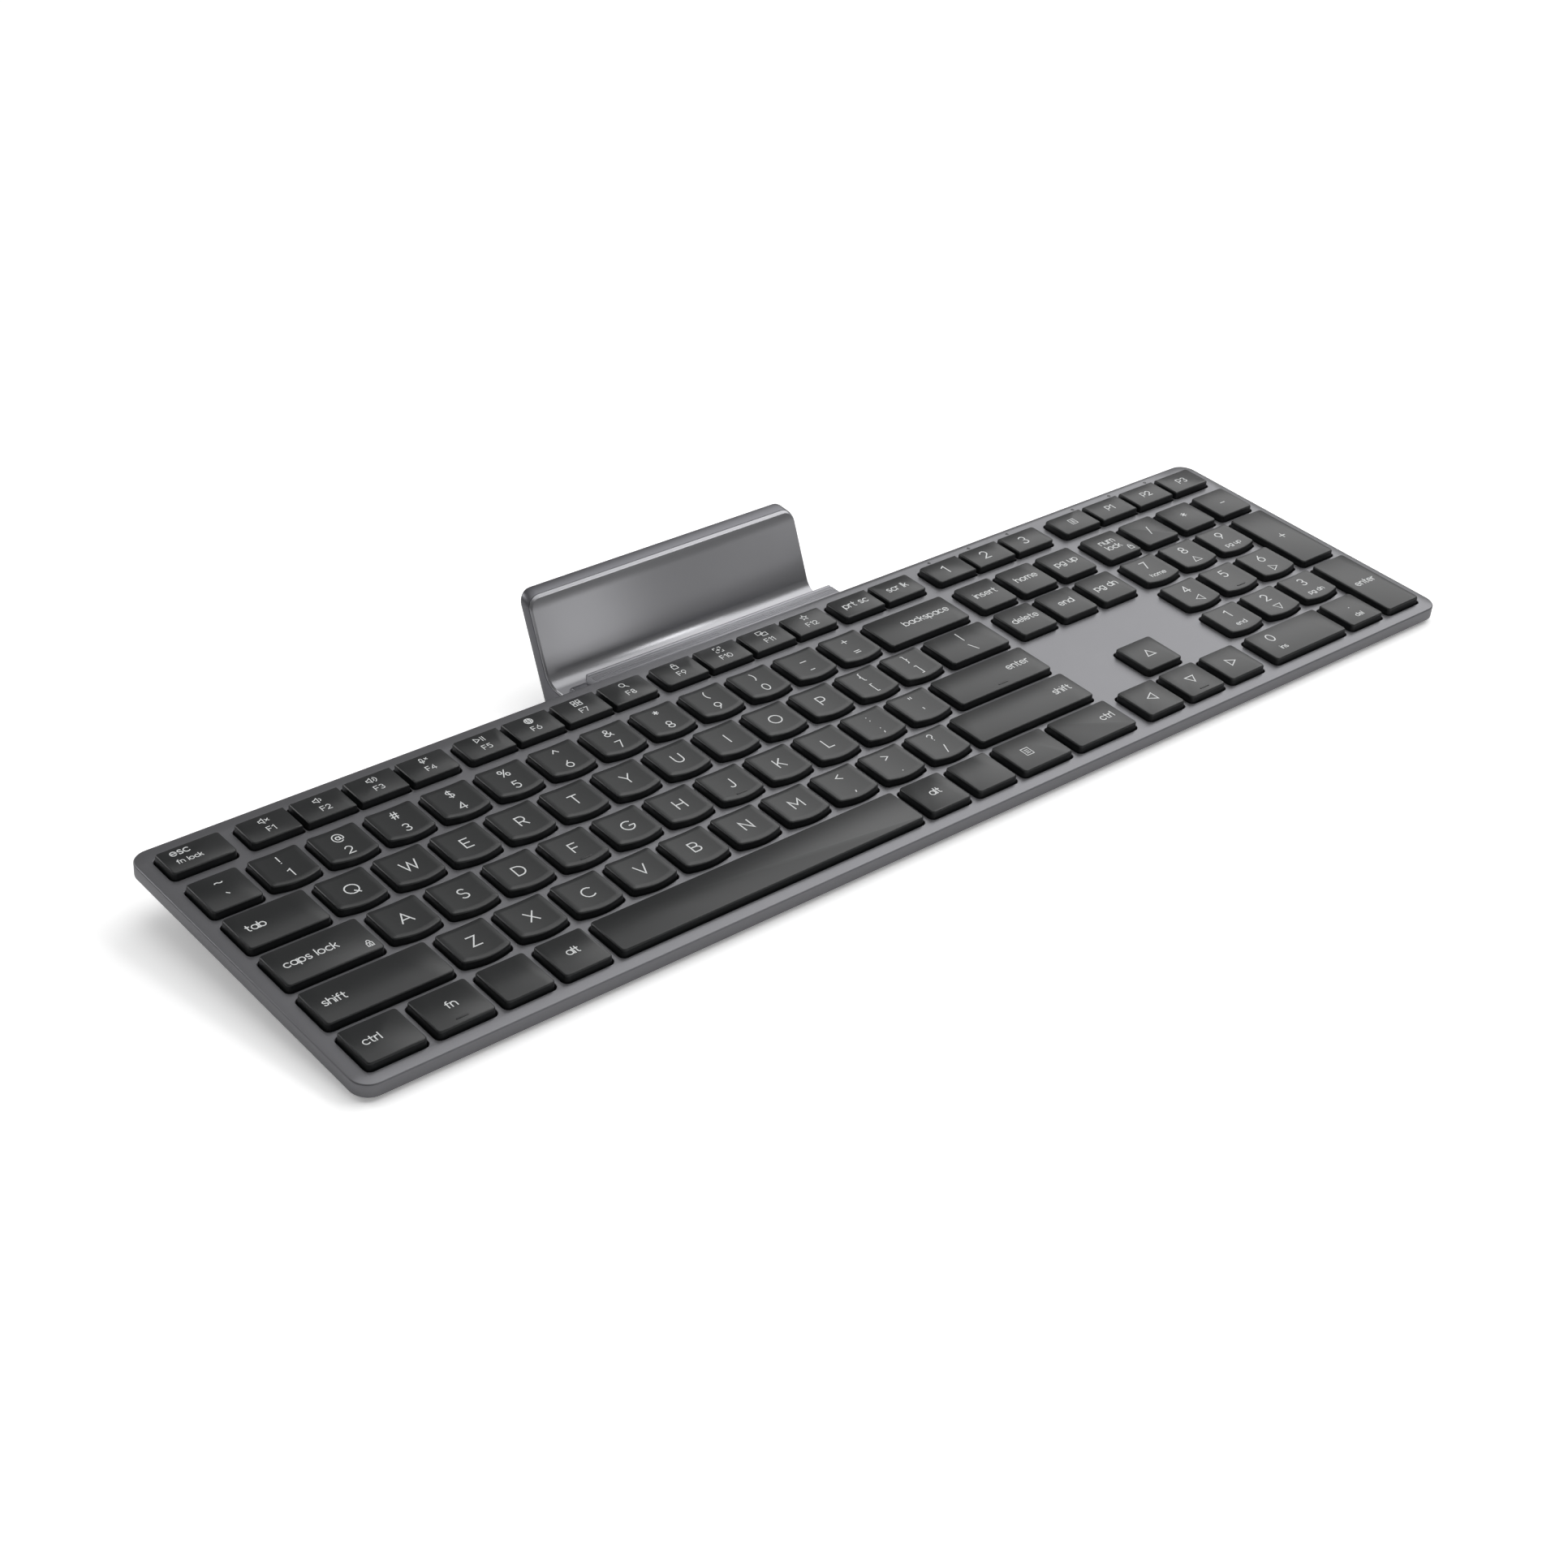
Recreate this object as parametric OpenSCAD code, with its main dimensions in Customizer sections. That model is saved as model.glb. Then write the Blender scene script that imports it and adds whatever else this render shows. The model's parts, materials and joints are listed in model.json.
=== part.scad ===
// Low-profile full-size keyboard with a numeric keypad and a rear cradle for a phone or tablet.
// The deck frame has x to the right from the left edge of the key block, y to the rear from the
// front edge of the key block, and z up from the key tops. on_deck() tilts that frame to the desk.

/* [Keys] */
// Spacing of the key grid
key_pitch = 19; // [17:0.1:23]
// Gap between two caps that stand side by side
side_gap = 3; // [2.5:0.1:3.6]
// Gap between two caps from row to row
row_gap = 3.4; // [2.9:0.1:4.1]
// Distance from the front of a grid cell to the front of its cap
front_inset = 1.4; // [1.2:0.1:1.6]
// Height of a cap from its skirt to its top face
cap_height = 3.2; // [2.9:0.1:3.9]
// Height of the cap tops above the deck
cap_rise = 2.3; // [2:0.1:2.5]
// Thickness of a cap's roof and of its skirt
cap_wall = 1; // [0.8:0.05:1.2]
// Corner radius of a cap, seen from above
cap_corner = 1.3; // [1:0.1:1.6]
// How far the front edge of a letter key bows forward
cap_bow = 1; // [0.8:0.1:1.2]
// Clearance between a cap and its opening in the deck
cap_clearance = 0.55; // [0.45:0.05:0.7]
// Travel of a key
key_travel = 1.6; // [1.3:0.1:1.9]

/* [Function row] */
// Depth of the caps in the function row
function_depth = 11.3; // [9.4:0.1:13.6]
// Gap between the number row's cells and the function row's caps
function_offset = 3.7; // [3:0.1:4.5]
// Gap between two function caps
function_gap = 1.5; // [1.4:0.1:1.8]
// Gap between two groups of function caps
group_gap = 3.5; // [2.9:0.1:4.2]
// Gap between the escape key and the first function key
escape_gap = 4.6; // [3.8:0.1:5.6]
// Width of the escape cap
escape_w = 20.4; // [17:0.1:24.5]
// Width of each cap in the pair of print and scroll keys
print_w = 17.1; // [14.2:0.1:20.6]

/* [Case] */
// Gap between the key blocks, which the navigation keys stand between
block_gap = 3; // [2.5:0.1:3.6]
// Deck margin beside and in front of the key block
edge_margin = 3.8; // [3.4:0.1:4.6]
// Deck margin behind the function row
rear_margin = 6; // [5:0.1:7.2]
// Corner radius of the case
case_corner = 7; // [5.8:0.1:8.4]
// Height of the case's side wall
wall_height = 4.4; // [4.2:0.1:5.3]
// Thickness of the case's side wall
wall_thickness = 1.2; // [1:0.05:1.5]
// Thickness of the deck
deck_thickness = 1; // [0.8:0.05:1.05]
// Tilt of the deck from the desk, rear edge up
deck_tilt = 6.44; // [5.4:0.01:7.7]

/* [Layers] */
// Clearance under a fully pressed cap
press_clearance = 0.15; // [0.1:0.01:0.2]
// Thickness of the contact membrane
membrane_thickness = 0.2; // [0.15:0.01:0.24]
// Thickness of the steel plate that carries the key mechanisms
plate_thickness = 0.6; // [0.5:0.05:0.75]
// Clearance between the layers and the case walls
layer_clearance = 0.5; // [0.4:0.05:0.6]
// Length of a scissor arm along the key's depth
scissor_length = 9; // [8:0.1:9.6]
// Distance between the two pairs of scissor arms
scissor_spread = 10; // [9:0.1:11]
// Width and thickness of a scissor arm
scissor_bar = 0.7; // [0.6:0.05:0.8]
// Radius of a rubber dome at its foot
dome_radius = 3; // [2.6:0.1:3.4]

/* [Bottom case] */
// Thickness of the bottom case's floor below the side wall
floor_thickness = 1; // [0.95:0.05:1.2]
// Inset of the floor from the ends of the case
floor_side_inset = 8.5; // [7:0.1:10]
// Inset of the floor from the front and the rear of the case
floor_front_inset = 1.3; // [1.1:0.05:1.5]
// Wall thickness of the riser under the rear
riser_wall = 1.4; // [1.2:0.1:1.7]
// Depth of the riser from front to rear
riser_depth = 24; // [22:0.1:28.8]
// Distance from the rear edge of the case to the riser
riser_setback = 4; // [3.4:0.1:4.8]
// Inset of the riser from the ends of the case
riser_side_inset = 28; // [24:0.1:33]
// Thickness of the battery pack
battery_thickness = 4.2; // [3.5:0.1:4.6]
// Length of the battery pack
battery_length = 118; // [98:1:141]
// Length of the main board
board_length = 96; // [80:1:115]
// Thickness of the main board
board_thickness = 1; // [0.8:0.1:1.2]

/* [Feet and screws] */
// Distance from the front of the key block to the middle of the front feet
front_foot_y = 8; // [6.7:0.1:9.6]
// Height of the front feet at their middle
front_foot_height = 1.6; // [1.5:0.05:1.95]
// Width of a foot, front to rear
foot_depth = 6; // [5:0.1:7.2]
// Length of a foot, side to side
foot_length = 34; // [28:0.5:40]
// Height of the rear feet
rear_foot_height = 1; // [0.8:0.05:1.2]
// Shank radius of a case screw
screw_radius = 0.8; // [0.7:0.05:0.85]
// Head radius of a case screw
screw_head_radius = 1.3; // [1.2:0.05:1.35]
// Head height of a case screw
screw_head_height = 0.9; // [0.75:0.05:1.05]
// Outer radius of a screw's boss under the deck
boss_radius = 1.35; // [1.2:0.05:1.45]
// Distance from a side wall's inner face to the middle of the screws beside it
screw_inset = 2.4; // [2.2:0.05:2.6]
// Distance from the corner of the case to the first screw
screw_end_inset = 11.8; // [10:0.1:14]
// Radial clearance of a shaft or a screw in its hole
hole_clearance = 0.05; // [0.02:0.01:0.1]

/* [Cradle] */
// Width of the cradle
cradle_width = 109.4; // [92:0.1:129]
// Distance from the left edge of the key block to the middle of the cradle
cradle_middle = 208.8; // [200:0.1:240]
// Thickness of the cradle's shell
cradle_thickness = 5.2; // [4.4:0.1:5.6]
// Thickness of the cradle's floor
cradle_floor_thickness = 3; // [2.6:0.1:3.2]
// Lean of the cradle's back from the deck's normal
cradle_lean = 25.6; // [22:0.1:30]
// Straight height of the cradle's back
cradle_height = 24.5; // [20.4:0.1:29.4]
// Inner radius between the cradle's back and its floor
cradle_bend = 6; // [5:0.1:7]
// Corner radius of the cradle's back
cradle_corner = 4.6; // [3.9:0.1:5.5]
// How much higher the rear of the cradle's top edge is than its front
cradle_top_rise = 1.05; // [0.85:0.05:1.25]
// Free space between the rail and the cradle's back, at the foot of the back
slot_depth = 14.2; // [11.9:0.1:17]
// Outer radius of the cradle's heel
heel_radius = 3; // [2.5:0.1:3.6]
// Clearance between the cradle's heel and the desk
heel_clearance = 1.5; // [1.3:0.1:1.8]
// Width of a hinge lug on the cradle's floor
lug_width = 10; // [8:0.1:12]
// Distance from the hinge axis to the rear of a lug
lug_reach = 7.5; // [6.3:0.1:8]
// Radius of a lug's rear edge
lug_radius = 2; // [1.7:0.1:2.4]
// Width of the rim around the cradle's pad
rim_width = 2; // [1.7:0.1:2.4]
// Thickness of the cradle's pad
pad_thickness = 0.8; // [0.7:0.05:0.9]
// How far the pad lies below the rim
pad_recess = 0.4; // [0.3:0.05:0.5]
// Gap between the floor of the case and the knuckle behind and below it
hinge_drop = 0.8; // [0.6:0.1:1]
// Distance from the knuckle to the start of the cradle's flat floor
knuckle_blend = 1.2; // [1:0.1:1.4]
// Radius of the hinge shaft
shaft_radius = 1.25; // [1:0.05:1.5]
// Outer radius of the cradle's knuckle
knuckle_radius = 3; // [2.7:0.1:3.2]
// Thickness of a hinge ear
ear_thickness = 4; // [3.3:0.1:4.8]
// Running gap at each end of the cradle
end_gap = 0.4; // [0.3:0.05:0.5]

/* [Rail] */
// Width of the rail in front of the cradle
rail_width = 101; // [84:0.1:103]
// Distance from the middle of the cradle to the middle of the rail
rail_shift = 0.7; // [0.5:0.05:0.9]
// Depth of the rail
rail_depth = 6; // [5:0.1:6.6]
// Height of the rail
rail_height = 4.2; // [3.6:0.1:4.3]
// Radius of the rail's rear edge
rail_radius = 1.4; // [1.2:0.1:1.7]
// How far the rail lies below the deck
rail_drop = 0.3; // [0.2:0.05:0.4]

/* [Rear controls] */
// Distance from the middle of the cradle to the middle of the charging socket
socket_offset = 105; // [95:1:110]
// Distance from the middle of the cradle to the middle of the power switch
switch_offset = 130; // [125:1:140]
// Height of the charging socket's and the switch's middle below the deck
control_drop = 9.5; // [9:0.1:10]
// Width of the charging socket's shell
socket_width = 8.94; // [8:0.01:9.5]
// Height of the charging socket's shell
socket_height = 3.16; // [2.9:0.01:3.4]
// Depth of the charging socket's shell
socket_depth = 7; // [6:0.1:8]
// Wall of the charging socket's shell
socket_wall = 0.3; // [0.25:0.01:0.35]
// Width of the switch's slider
slider_width = 3.4; // [2.9:0.1:4]
// Height of the switch's slider
slider_height = 2; // [1.7:0.1:2.4]
// Travel of the switch
switch_travel = 2.6; // [2.2:0.1:3.1]
// Radius of an indicator's light pipe
light_radius = 0.45; // [0.4:0.01:0.5]

/* [Hidden] */
arc_steps = 2;
bow_steps = 6;
case_arc_steps = 8;
bend_steps = 8;
corner_steps = 6;
rail_steps = 4;
ear_steps = 8;
knuckle_steps = 12;
foot_steps = 6;
// Angle at which the knuckle's round meets the slope down to the cradle's floor
knuckle_end = 54;
// Middles of the front feet as shares of the case's width
front_foot_shares = [-0.38, -0.13, 0.13, 0.38];
// Flat at each end of a foot
foot_flat = 0.2;
// Gap between the ends of the scissor arms and the inside of a short cap
scissor_gap = 0.3;
// Battery pack: distance from the riser's front wall and from its end wall, and its corners
battery_inset = 1;
battery_offset = 6;
battery_corner = 1;
// Gap between the battery pack or the main board and what it lies beside
pack_gap = 0.3;
// Charging socket: distance of its mouth and of its tongue from the riser's rear face
socket_setback = 0.2;
tongue_setback = 2;
tongue_thickness = 0.7;
// Power switch: play in its slot, and how far it reaches in and out from the riser's wall
slider_play = 0.2;
slider_inner = 0.8;
slider_proud = 0.6;
// Gap between a screw's tip and the end of its hole
tip_gap = 0.2;

// Key widths of the main block in grid units, row by row from the front
main_rows = [
    [1.125, 1.125, 1, 1, 6, 1, 1, 1.25, 1.5],
    [2.25, 1, 1, 1, 1, 1, 1, 1, 1, 1, 1, 2.75],
    [1.75, 1, 1, 1, 1, 1, 1, 1, 1, 1, 1, 1, 2.25],
    [1.5, 1, 1, 1, 1, 1, 1, 1, 1, 1, 1, 1, 1, 1.5],
    [1, 1, 1, 1, 1, 1, 1, 1, 1, 1, 1, 1, 1, 2]
];
main_units = 15;
nav_units = 3;
pad_units = 4;
row_count = 5;
nav_x = main_units * key_pitch + block_gap;
pad_x = nav_x + nav_units * key_pitch + block_gap;
keys_w = pad_x + pad_units * key_pitch;
function_y = row_count * key_pitch + function_offset;

// Case outline and layer heights in the deck frame
case_x0 = -edge_margin;
case_w = keys_w + 2 * edge_margin;
case_y0 = -edge_margin;
case_y1 = function_y + function_depth + rear_margin;
case_d = case_y1 - case_y0;
deck_top = -cap_rise;
deck_bottom = deck_top - deck_thickness;
wall_bottom = deck_top - wall_height;
membrane_top = -cap_height - key_travel - press_clearance;
plate_top = membrane_top - membrane_thickness;
flange_top = plate_top - plate_thickness;
flange_thickness = flange_top - wall_bottom;
floor_bottom = wall_bottom - floor_thickness;

// Desk plane, riser and feet
desk_at_foot = floor_bottom - front_foot_height;
function desk_z(y) = desk_at_foot - (y - front_foot_y) * tan(deck_tilt);
riser_y1 = case_y1 - riser_setback;
riser_y0 = riser_y1 - riser_depth;
riser_x0 = case_x0 + riser_side_inset;
riser_w = case_w - 2 * riser_side_inset;
riser_floor_gap = rear_foot_height / cos(deck_tilt);
function riser_z(y) = desk_z(y) + riser_floor_gap;

// Rail, hinge and cradle profile
rail_x = cradle_middle + rail_shift - rail_width / 2;
rail_top = deck_top - rail_drop;
rail_bottom = rail_top - rail_height;
rail_rear = case_y1 + rail_depth;
hinge_y = case_y1 + knuckle_radius;
hinge_z = floor_bottom - hinge_drop - knuckle_radius;
back_y = rail_rear + slot_depth;
back_dir = [sin(cradle_lean), cos(cradle_lean)];
front_dir = [-cos(cradle_lean), sin(cradle_lean)];
cradle_floor = hinge_z - knuckle_radius + cradle_floor_thickness;
bend_z = cradle_floor + cradle_bend;
bend_end = [back_y, bend_z] + cradle_bend * [cos(cradle_lean) - 1, -sin(cradle_lean)];
bend_center = bend_end + cradle_bend * front_dir;
front_top = bend_end + cradle_height * back_dir;
desk_dir = [cos(deck_tilt), -sin(deck_tilt)];
desk_up = [sin(deck_tilt), cos(deck_tilt)];
back_lean = cradle_lean - deck_tilt;
top_depth = (cradle_thickness + cradle_top_rise * sin(back_lean)) / cos(back_lean);
rear_top = front_top + top_depth * desk_dir + cradle_top_rise * desk_up;
top_tilt = atan(cradle_top_rise / top_depth) - deck_tilt;

// Heel of the cradle: its back runs straight down to a round just above the desk. The middle of
// the round lies heel_radius inside both the back's outer face and the heel's plane.
back_normal = [cos(cradle_lean), -sin(cradle_lean)];
desk_normal = -desk_up;
heel_plane = [0, desk_z(0) + heel_clearance / cos(deck_tilt)];
from_back = rear_top * back_normal - heel_radius;
from_desk = heel_plane * desk_normal - heel_radius;
heel_center = [back_normal[1] * from_desk - desk_normal[1] * from_back,
    desk_normal[0] * from_back - back_normal[0] * from_desk] / cos(back_lean);

// Placement on the desk: the model's box is centred over the origin
function row_y(p) = p[0] * cos(deck_tilt) - p[1] * sin(deck_tilt);
place_x = -(case_x0 + case_w / 2);
place_y = -(row_y([case_y0, deck_top]) + row_y(rear_top)) / 2;
place_z = -(front_foot_y * sin(deck_tilt) + desk_at_foot * cos(deck_tilt));

// Points of a circular arc
function arc(x, y, r, from, to, steps) =
    [for (i = [0:steps]) [x + r * cos(from + (to - from) * i / steps),
                          y + r * sin(from + (to - from) * i / steps)]];
// Rectangle with rounded corners, from its front left corner
function rounded(w, d, r, steps) = concat(
    arc(r, r, r, 180, 270, steps), arc(w - r, r, r, 270, 360, steps),
    arc(w - r, d - r, r, 0, 90, steps), arc(r, d - r, r, 90, 180, steps));
// The same with a front edge that bows forward between its corners
function bowed(w, d, r, bow, steps) = concat(
    arc(r, bow + r, r, 180, 270, steps),
    [for (i = [1:bow_steps - 1]) [r + (w - 2 * r) * i / bow_steps,
                                  bow * pow(2 * i / bow_steps - 1, 2)]],
    arc(w - r, bow + r, r, 270, 360, steps),
    arc(w - r, d - r, r, 0, 90, steps), arc(r, d - r, r, 90, 180, steps));
function sum_to(list, n) = n <= 0 ? 0 : list[n - 1] + sum_to(list, n - 1);

// A cap is [x, y, width, depth, bowed front], in the deck frame
function grid_cap(x, row, w_units, h_units, bow) =
    [x + side_gap / 2, row * key_pitch + front_inset,
     w_units * key_pitch - side_gap, h_units * key_pitch - row_gap, bow];
function main_cap(row, i) = grid_cap(sum_to(main_rows[row], i) * key_pitch, row,
    main_rows[row][i], 1, row > 0 && i > 0 && main_rows[row][i] == 1);
function main_caps(row, first, last) = [for (i = [first:last]) main_cap(row, i)];
function nav_cap(column, row) = grid_cap(nav_x + column * key_pitch, row, 1, 1, false);
function pad_cap(column, row, w_units, h_units, bow) =
    grid_cap(pad_x + column * key_pitch, row, w_units, h_units, bow);

// Function caps fill their block from edge to edge
function_w = (main_units * key_pitch - side_gap - escape_w - escape_gap - 3 * group_gap
    - 2 * print_w - function_gap - 9 * function_gap) / 12;
first_group_x = side_gap / 2 + escape_w + escape_gap;
group_pitch = 4 * function_w + 3 * function_gap + group_gap;
function function_caps(x, w, count) = [for (i = [0:count - 1])
    [x + i * (w + function_gap), function_y, w, function_depth, false]];
function block_caps(x, units) = function_caps(x + side_gap / 2,
    (units * key_pitch - side_gap - (units - 1) * function_gap) / units, units);

escape_caps = function_caps(side_gap / 2, escape_w, 1);
f1_caps = function_caps(first_group_x, function_w, 4);
f5_caps = function_caps(first_group_x + group_pitch, function_w, 4);
f9_caps = function_caps(first_group_x + 2 * group_pitch, function_w, 4);
print_caps = function_caps(first_group_x + 3 * group_pitch, print_w, 2);
device_caps = block_caps(nav_x, nav_units);
macro_caps = block_caps(pad_x, pad_units);
navigation_caps = [for (row = [3:4]) for (column = [0:2]) nav_cap(column, row)];
arrow_caps = [nav_cap(0, 0), nav_cap(1, 0), nav_cap(2, 0), nav_cap(1, 1)];
pad_digit_caps = [for (row = [1:3]) for (column = [0:2]) pad_cap(column, row, 1, 1, true)];
pad_top_caps = [for (column = [0:3]) pad_cap(column, 4, 1, 1, false)];
pad_add_cap = pad_cap(3, 2, 1, 2, false);
pad_enter_cap = pad_cap(3, 0, 1, 2, false);
pad_zero_cap = pad_cap(0, 0, 2, 1, false);
pad_point_cap = pad_cap(2, 0, 1, 1, false);
all_caps = concat(
    escape_caps, f1_caps, f5_caps, f9_caps, print_caps, device_caps, macro_caps,
    [for (row = [0:row_count - 1]) each main_caps(row, 0, len(main_rows[row]) - 1)],
    navigation_caps, arrow_caps, pad_digit_caps, pad_top_caps,
    [pad_add_cap, pad_enter_cap, pad_zero_cap, pad_point_cap]);

// Indicators: one behind each device key and one behind three of the macro keys
light_shift = 0.4;
light_y = case_y1 - rear_margin / 2 + light_shift;
lights = concat(
    [for (cap = device_caps) [cap[0] + cap[2] / 2, light_y]],
    [for (i = [0:2]) [macro_caps[i][0] + macro_caps[i][2] + function_gap / 2, light_y]]);

// Screws along the front and the rear edge
screw_count = 5;
screw_front_y = case_y0 + wall_thickness + screw_inset;
screw_rear_y = case_y1 - wall_thickness - screw_inset;
screw_x0 = case_x0 + edge_margin + screw_end_inset;
screw_step = (case_w - 2 * (edge_margin + screw_end_inset)) / (screw_count - 1);
// Depth of the hole in a boss
boss_roof = 0.4;
screw_depth = deck_bottom - flange_top - boss_roof;
screw_spots = [for (i = [0:screw_count - 1]) for (y = [screw_front_y, screw_rear_y])
    [screw_x0 + i * screw_step, y]];

// Middles of the charging socket and of the power switch
socket_x = cradle_middle + socket_offset;
switch_x = cradle_middle + switch_offset;
control_z = deck_top - control_drop;

module on_deck() {
    translate([place_x, place_y, place_z]) rotate([deck_tilt, 0, 0]) children();
}

// Plate between two heights with the given outline
module slab(bottom, top) {
    translate([0, 0, bottom]) linear_extrude(top - bottom) children();
}

module outline(x, y, w, d, r) {
    translate([x, y]) polygon(rounded(w, d, r, case_arc_steps));
}

// A side profile in y and z, drawn out along x
module across(x, w) {
    translate([x, 0, 0]) rotate([90, 0, 90]) linear_extrude(w) children();
}

module cap_shape(cap, grow) {
    w = cap[2] + 2 * grow;
    d = cap[3] + 2 * grow;
    r = max(cap_corner + grow, 0.2);
    translate([cap[0] - grow, cap[1] - grow])
        if (cap[4]) polygon(bowed(w, d, r, cap_bow, arc_steps));
        else polygon(rounded(w, d, r, arc_steps));
}

// Hollow key cap: a roof on a skirt
module key_cap(cap) {
    difference() {
        slab(-cap_height, 0) cap_shape(cap, 0);
        slab(-cap_height - 1, -cap_wall) cap_shape(cap, -cap_wall);
    }
}

module key_caps(caps) {
    color("#35373a") on_deck() for (cap = caps) key_cap(cap);
}

module top_case() {
    inner_r = case_corner - wall_thickness;
    color("#7b7b7f") on_deck() {
        difference() {
            union() {
                slab(deck_bottom, deck_top) difference() {
                    outline(case_x0, case_y0, case_w, case_d, case_corner);
                    for (cap = all_caps) cap_shape(cap, cap_clearance);
                }
                slab(wall_bottom, deck_bottom) difference() {
                    outline(case_x0, case_y0, case_w, case_d, case_corner);
                    outline(case_x0 + wall_thickness, case_y0 + wall_thickness,
                        case_w - 2 * wall_thickness, case_d - 2 * wall_thickness, inner_r);
                }
                for (p = screw_spots) translate([p[0], p[1], flange_top])
                    cylinder(h = deck_bottom - flange_top, r = boss_radius, $fn = 32);
            }
            for (p = screw_spots) translate([p[0], p[1], flange_top - 1])
                cylinder(h = 1 + screw_depth, r = screw_radius + hole_clearance, $fn = 32);
            for (p = lights) translate([p[0], p[1], deck_bottom - 1])
                cylinder(h = deck_thickness + 2, r = light_radius + hole_clearance, $fn = 24);
        }
    }
}

module bottom_case() {
    flange_inset = wall_thickness + layer_clearance / 2;
    flange_r = case_corner - flange_inset;
    riser_floor = [[riser_y0, floor_bottom], [riser_y0, riser_z(riser_y0)],
        [riser_y1, riser_z(riser_y1)], [riser_y1, floor_bottom]];
    pocket_floor = [[riser_y0 + riser_wall, flange_top + 1],
        [riser_y0 + riser_wall, riser_z(riser_y0 + riser_wall) + riser_wall],
        [riser_y1 - riser_wall, riser_z(riser_y1 - riser_wall) + riser_wall],
        [riser_y1 - riser_wall, flange_top + 1]];
    color("#4a4a4d") on_deck() difference() {
        union() {
            slab(wall_bottom, flange_top)
                outline(case_x0 + flange_inset, case_y0 + flange_inset,
                    case_w - 2 * flange_inset, case_d - 2 * flange_inset, flange_r);
            slab(floor_bottom, wall_bottom)
                outline(case_x0 + floor_side_inset, case_y0 + floor_front_inset,
                    case_w - 2 * floor_side_inset, case_d - 2 * floor_front_inset, case_corner);
            across(riser_x0, riser_w) polygon(riser_floor);
        }
        across(riser_x0 + riser_wall, riser_w - 2 * riser_wall) polygon(pocket_floor);
        for (p = screw_spots) translate([p[0], p[1], floor_bottom - 1]) {
            cylinder(h = 1 + screw_head_height, r = screw_head_radius + hole_clearance, $fn = 32);
            cylinder(h = 2 + floor_thickness + flange_thickness, r = screw_radius + hole_clearance, $fn = 32);
        }
        translate([socket_x - socket_width / 2, riser_y1 - riser_wall - 1,
                   control_z - socket_height / 2])
            cube([socket_width, riser_wall + 2, socket_height]);
        translate([switch_x - slider_width / 2 - slider_play, riser_y1 - riser_wall - 1,
                   control_z - slider_height / 2 - slider_play])
            cube([slider_width + switch_travel + 2 * slider_play, riser_wall + 2,
                  slider_height + 2 * slider_play]);
    }
}

module layer_outline() {
    inset = wall_thickness + layer_clearance;
    front = screw_front_y + boss_radius + layer_clearance / 2;
    rear = screw_rear_y - boss_radius - layer_clearance / 2;
    outline(case_x0 + inset, front, case_w - 2 * inset, rear - front, case_corner / 2);
}

module membrane() {
    color("#b9bfc4") on_deck() slab(plate_top, membrane_top) layer_outline();
}

module switch_plate() {
    color("#8d9196") on_deck() slab(flange_top, plate_top) layer_outline();
}

// One dome under the middle of each cap
module rubber_domes() {
    h = -cap_wall - membrane_top - press_clearance;
    color("#d8d8d2") on_deck() for (cap = all_caps)
        translate([cap[0] + cap[2] / 2, cap[1] + cap[3] / 2, membrane_top])
            cylinder(h = h, r1 = dome_radius, r2 = dome_radius / 2, $fn = 24);
}

// Two pairs of crossed arms under each cap, seen from the side as an X
module scissor_arms() {
    rise = -cap_wall - membrane_top - 2 * press_clearance;
    color("#c9c9c4") on_deck() for (cap = all_caps) {
        reach = min(scissor_length, cap[3] - 2 * (cap_wall + scissor_gap)) / 2;
        middle = [cap[1] + cap[3] / 2, membrane_top + press_clearance + rise / 2];
        bar = scissor_bar / 2;
        waist = sqrt(2) * bar;
        for (side = [-1, 1])
            across(cap[0] + cap[2] / 2 + side * scissor_spread / 2 - bar, scissor_bar)
                translate(middle) polygon([
                    [-reach, -rise / 2], [-reach + 2 * bar, -rise / 2], [0, -bar],
                    [reach - 2 * bar, -rise / 2], [reach, -rise / 2], [waist, 0],
                    [reach, rise / 2], [reach - 2 * bar, rise / 2], [0, bar],
                    [-reach + 2 * bar, rise / 2], [-reach, rise / 2], [-waist, 0]]);
    }
}

module battery_pack() {
    top = flange_top - pack_gap;
    depth = riser_depth - 2 * riser_wall - 2 * battery_inset;
    color("#2f4c3b") on_deck()
        translate([riser_x0 + riser_wall + battery_offset, riser_y0 + riser_wall + battery_inset, 0])
            slab(top - battery_thickness, top)
                polygon(rounded(battery_length, depth, battery_corner, arc_steps));
}

module main_board() {
    top = control_z - socket_height / 2;
    front = riser_y0 + riser_wall + battery_inset;
    color("#1f5136") on_deck()
        translate([socket_x - board_length / 2, front, top - board_thickness])
            cube([board_length, riser_y1 - riser_wall - front - pack_gap, board_thickness]);
}

// Charging socket: an open shell with a tongue, on the board and through the riser's rear wall
module charging_socket() {
    w = socket_width - 2 * hole_clearance;
    h = socket_height - hole_clearance;
    y0 = riser_y1 - socket_depth;
    color("#b8bbbf") on_deck()
        translate([socket_x - w / 2, y0, control_z - socket_height / 2]) {
            difference() {
                cube([w, socket_depth - socket_setback, h]);
                translate([socket_wall, socket_wall, socket_wall])
                    cube([w - 2 * socket_wall, socket_depth, h - 2 * socket_wall]);
            }
            translate([w / 4, socket_wall, (h - tongue_thickness) / 2])
                cube([w / 2, socket_depth - tongue_setback, tongue_thickness]);
        }
}

module power_switch() {
    color("#2b2b2d") on_deck()
        translate([switch_x - slider_width / 2, riser_y1 - riser_wall - slider_inner,
                   control_z - slider_height / 2])
            cube([slider_width, riser_wall + slider_inner + slider_proud, slider_height]);
}

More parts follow.
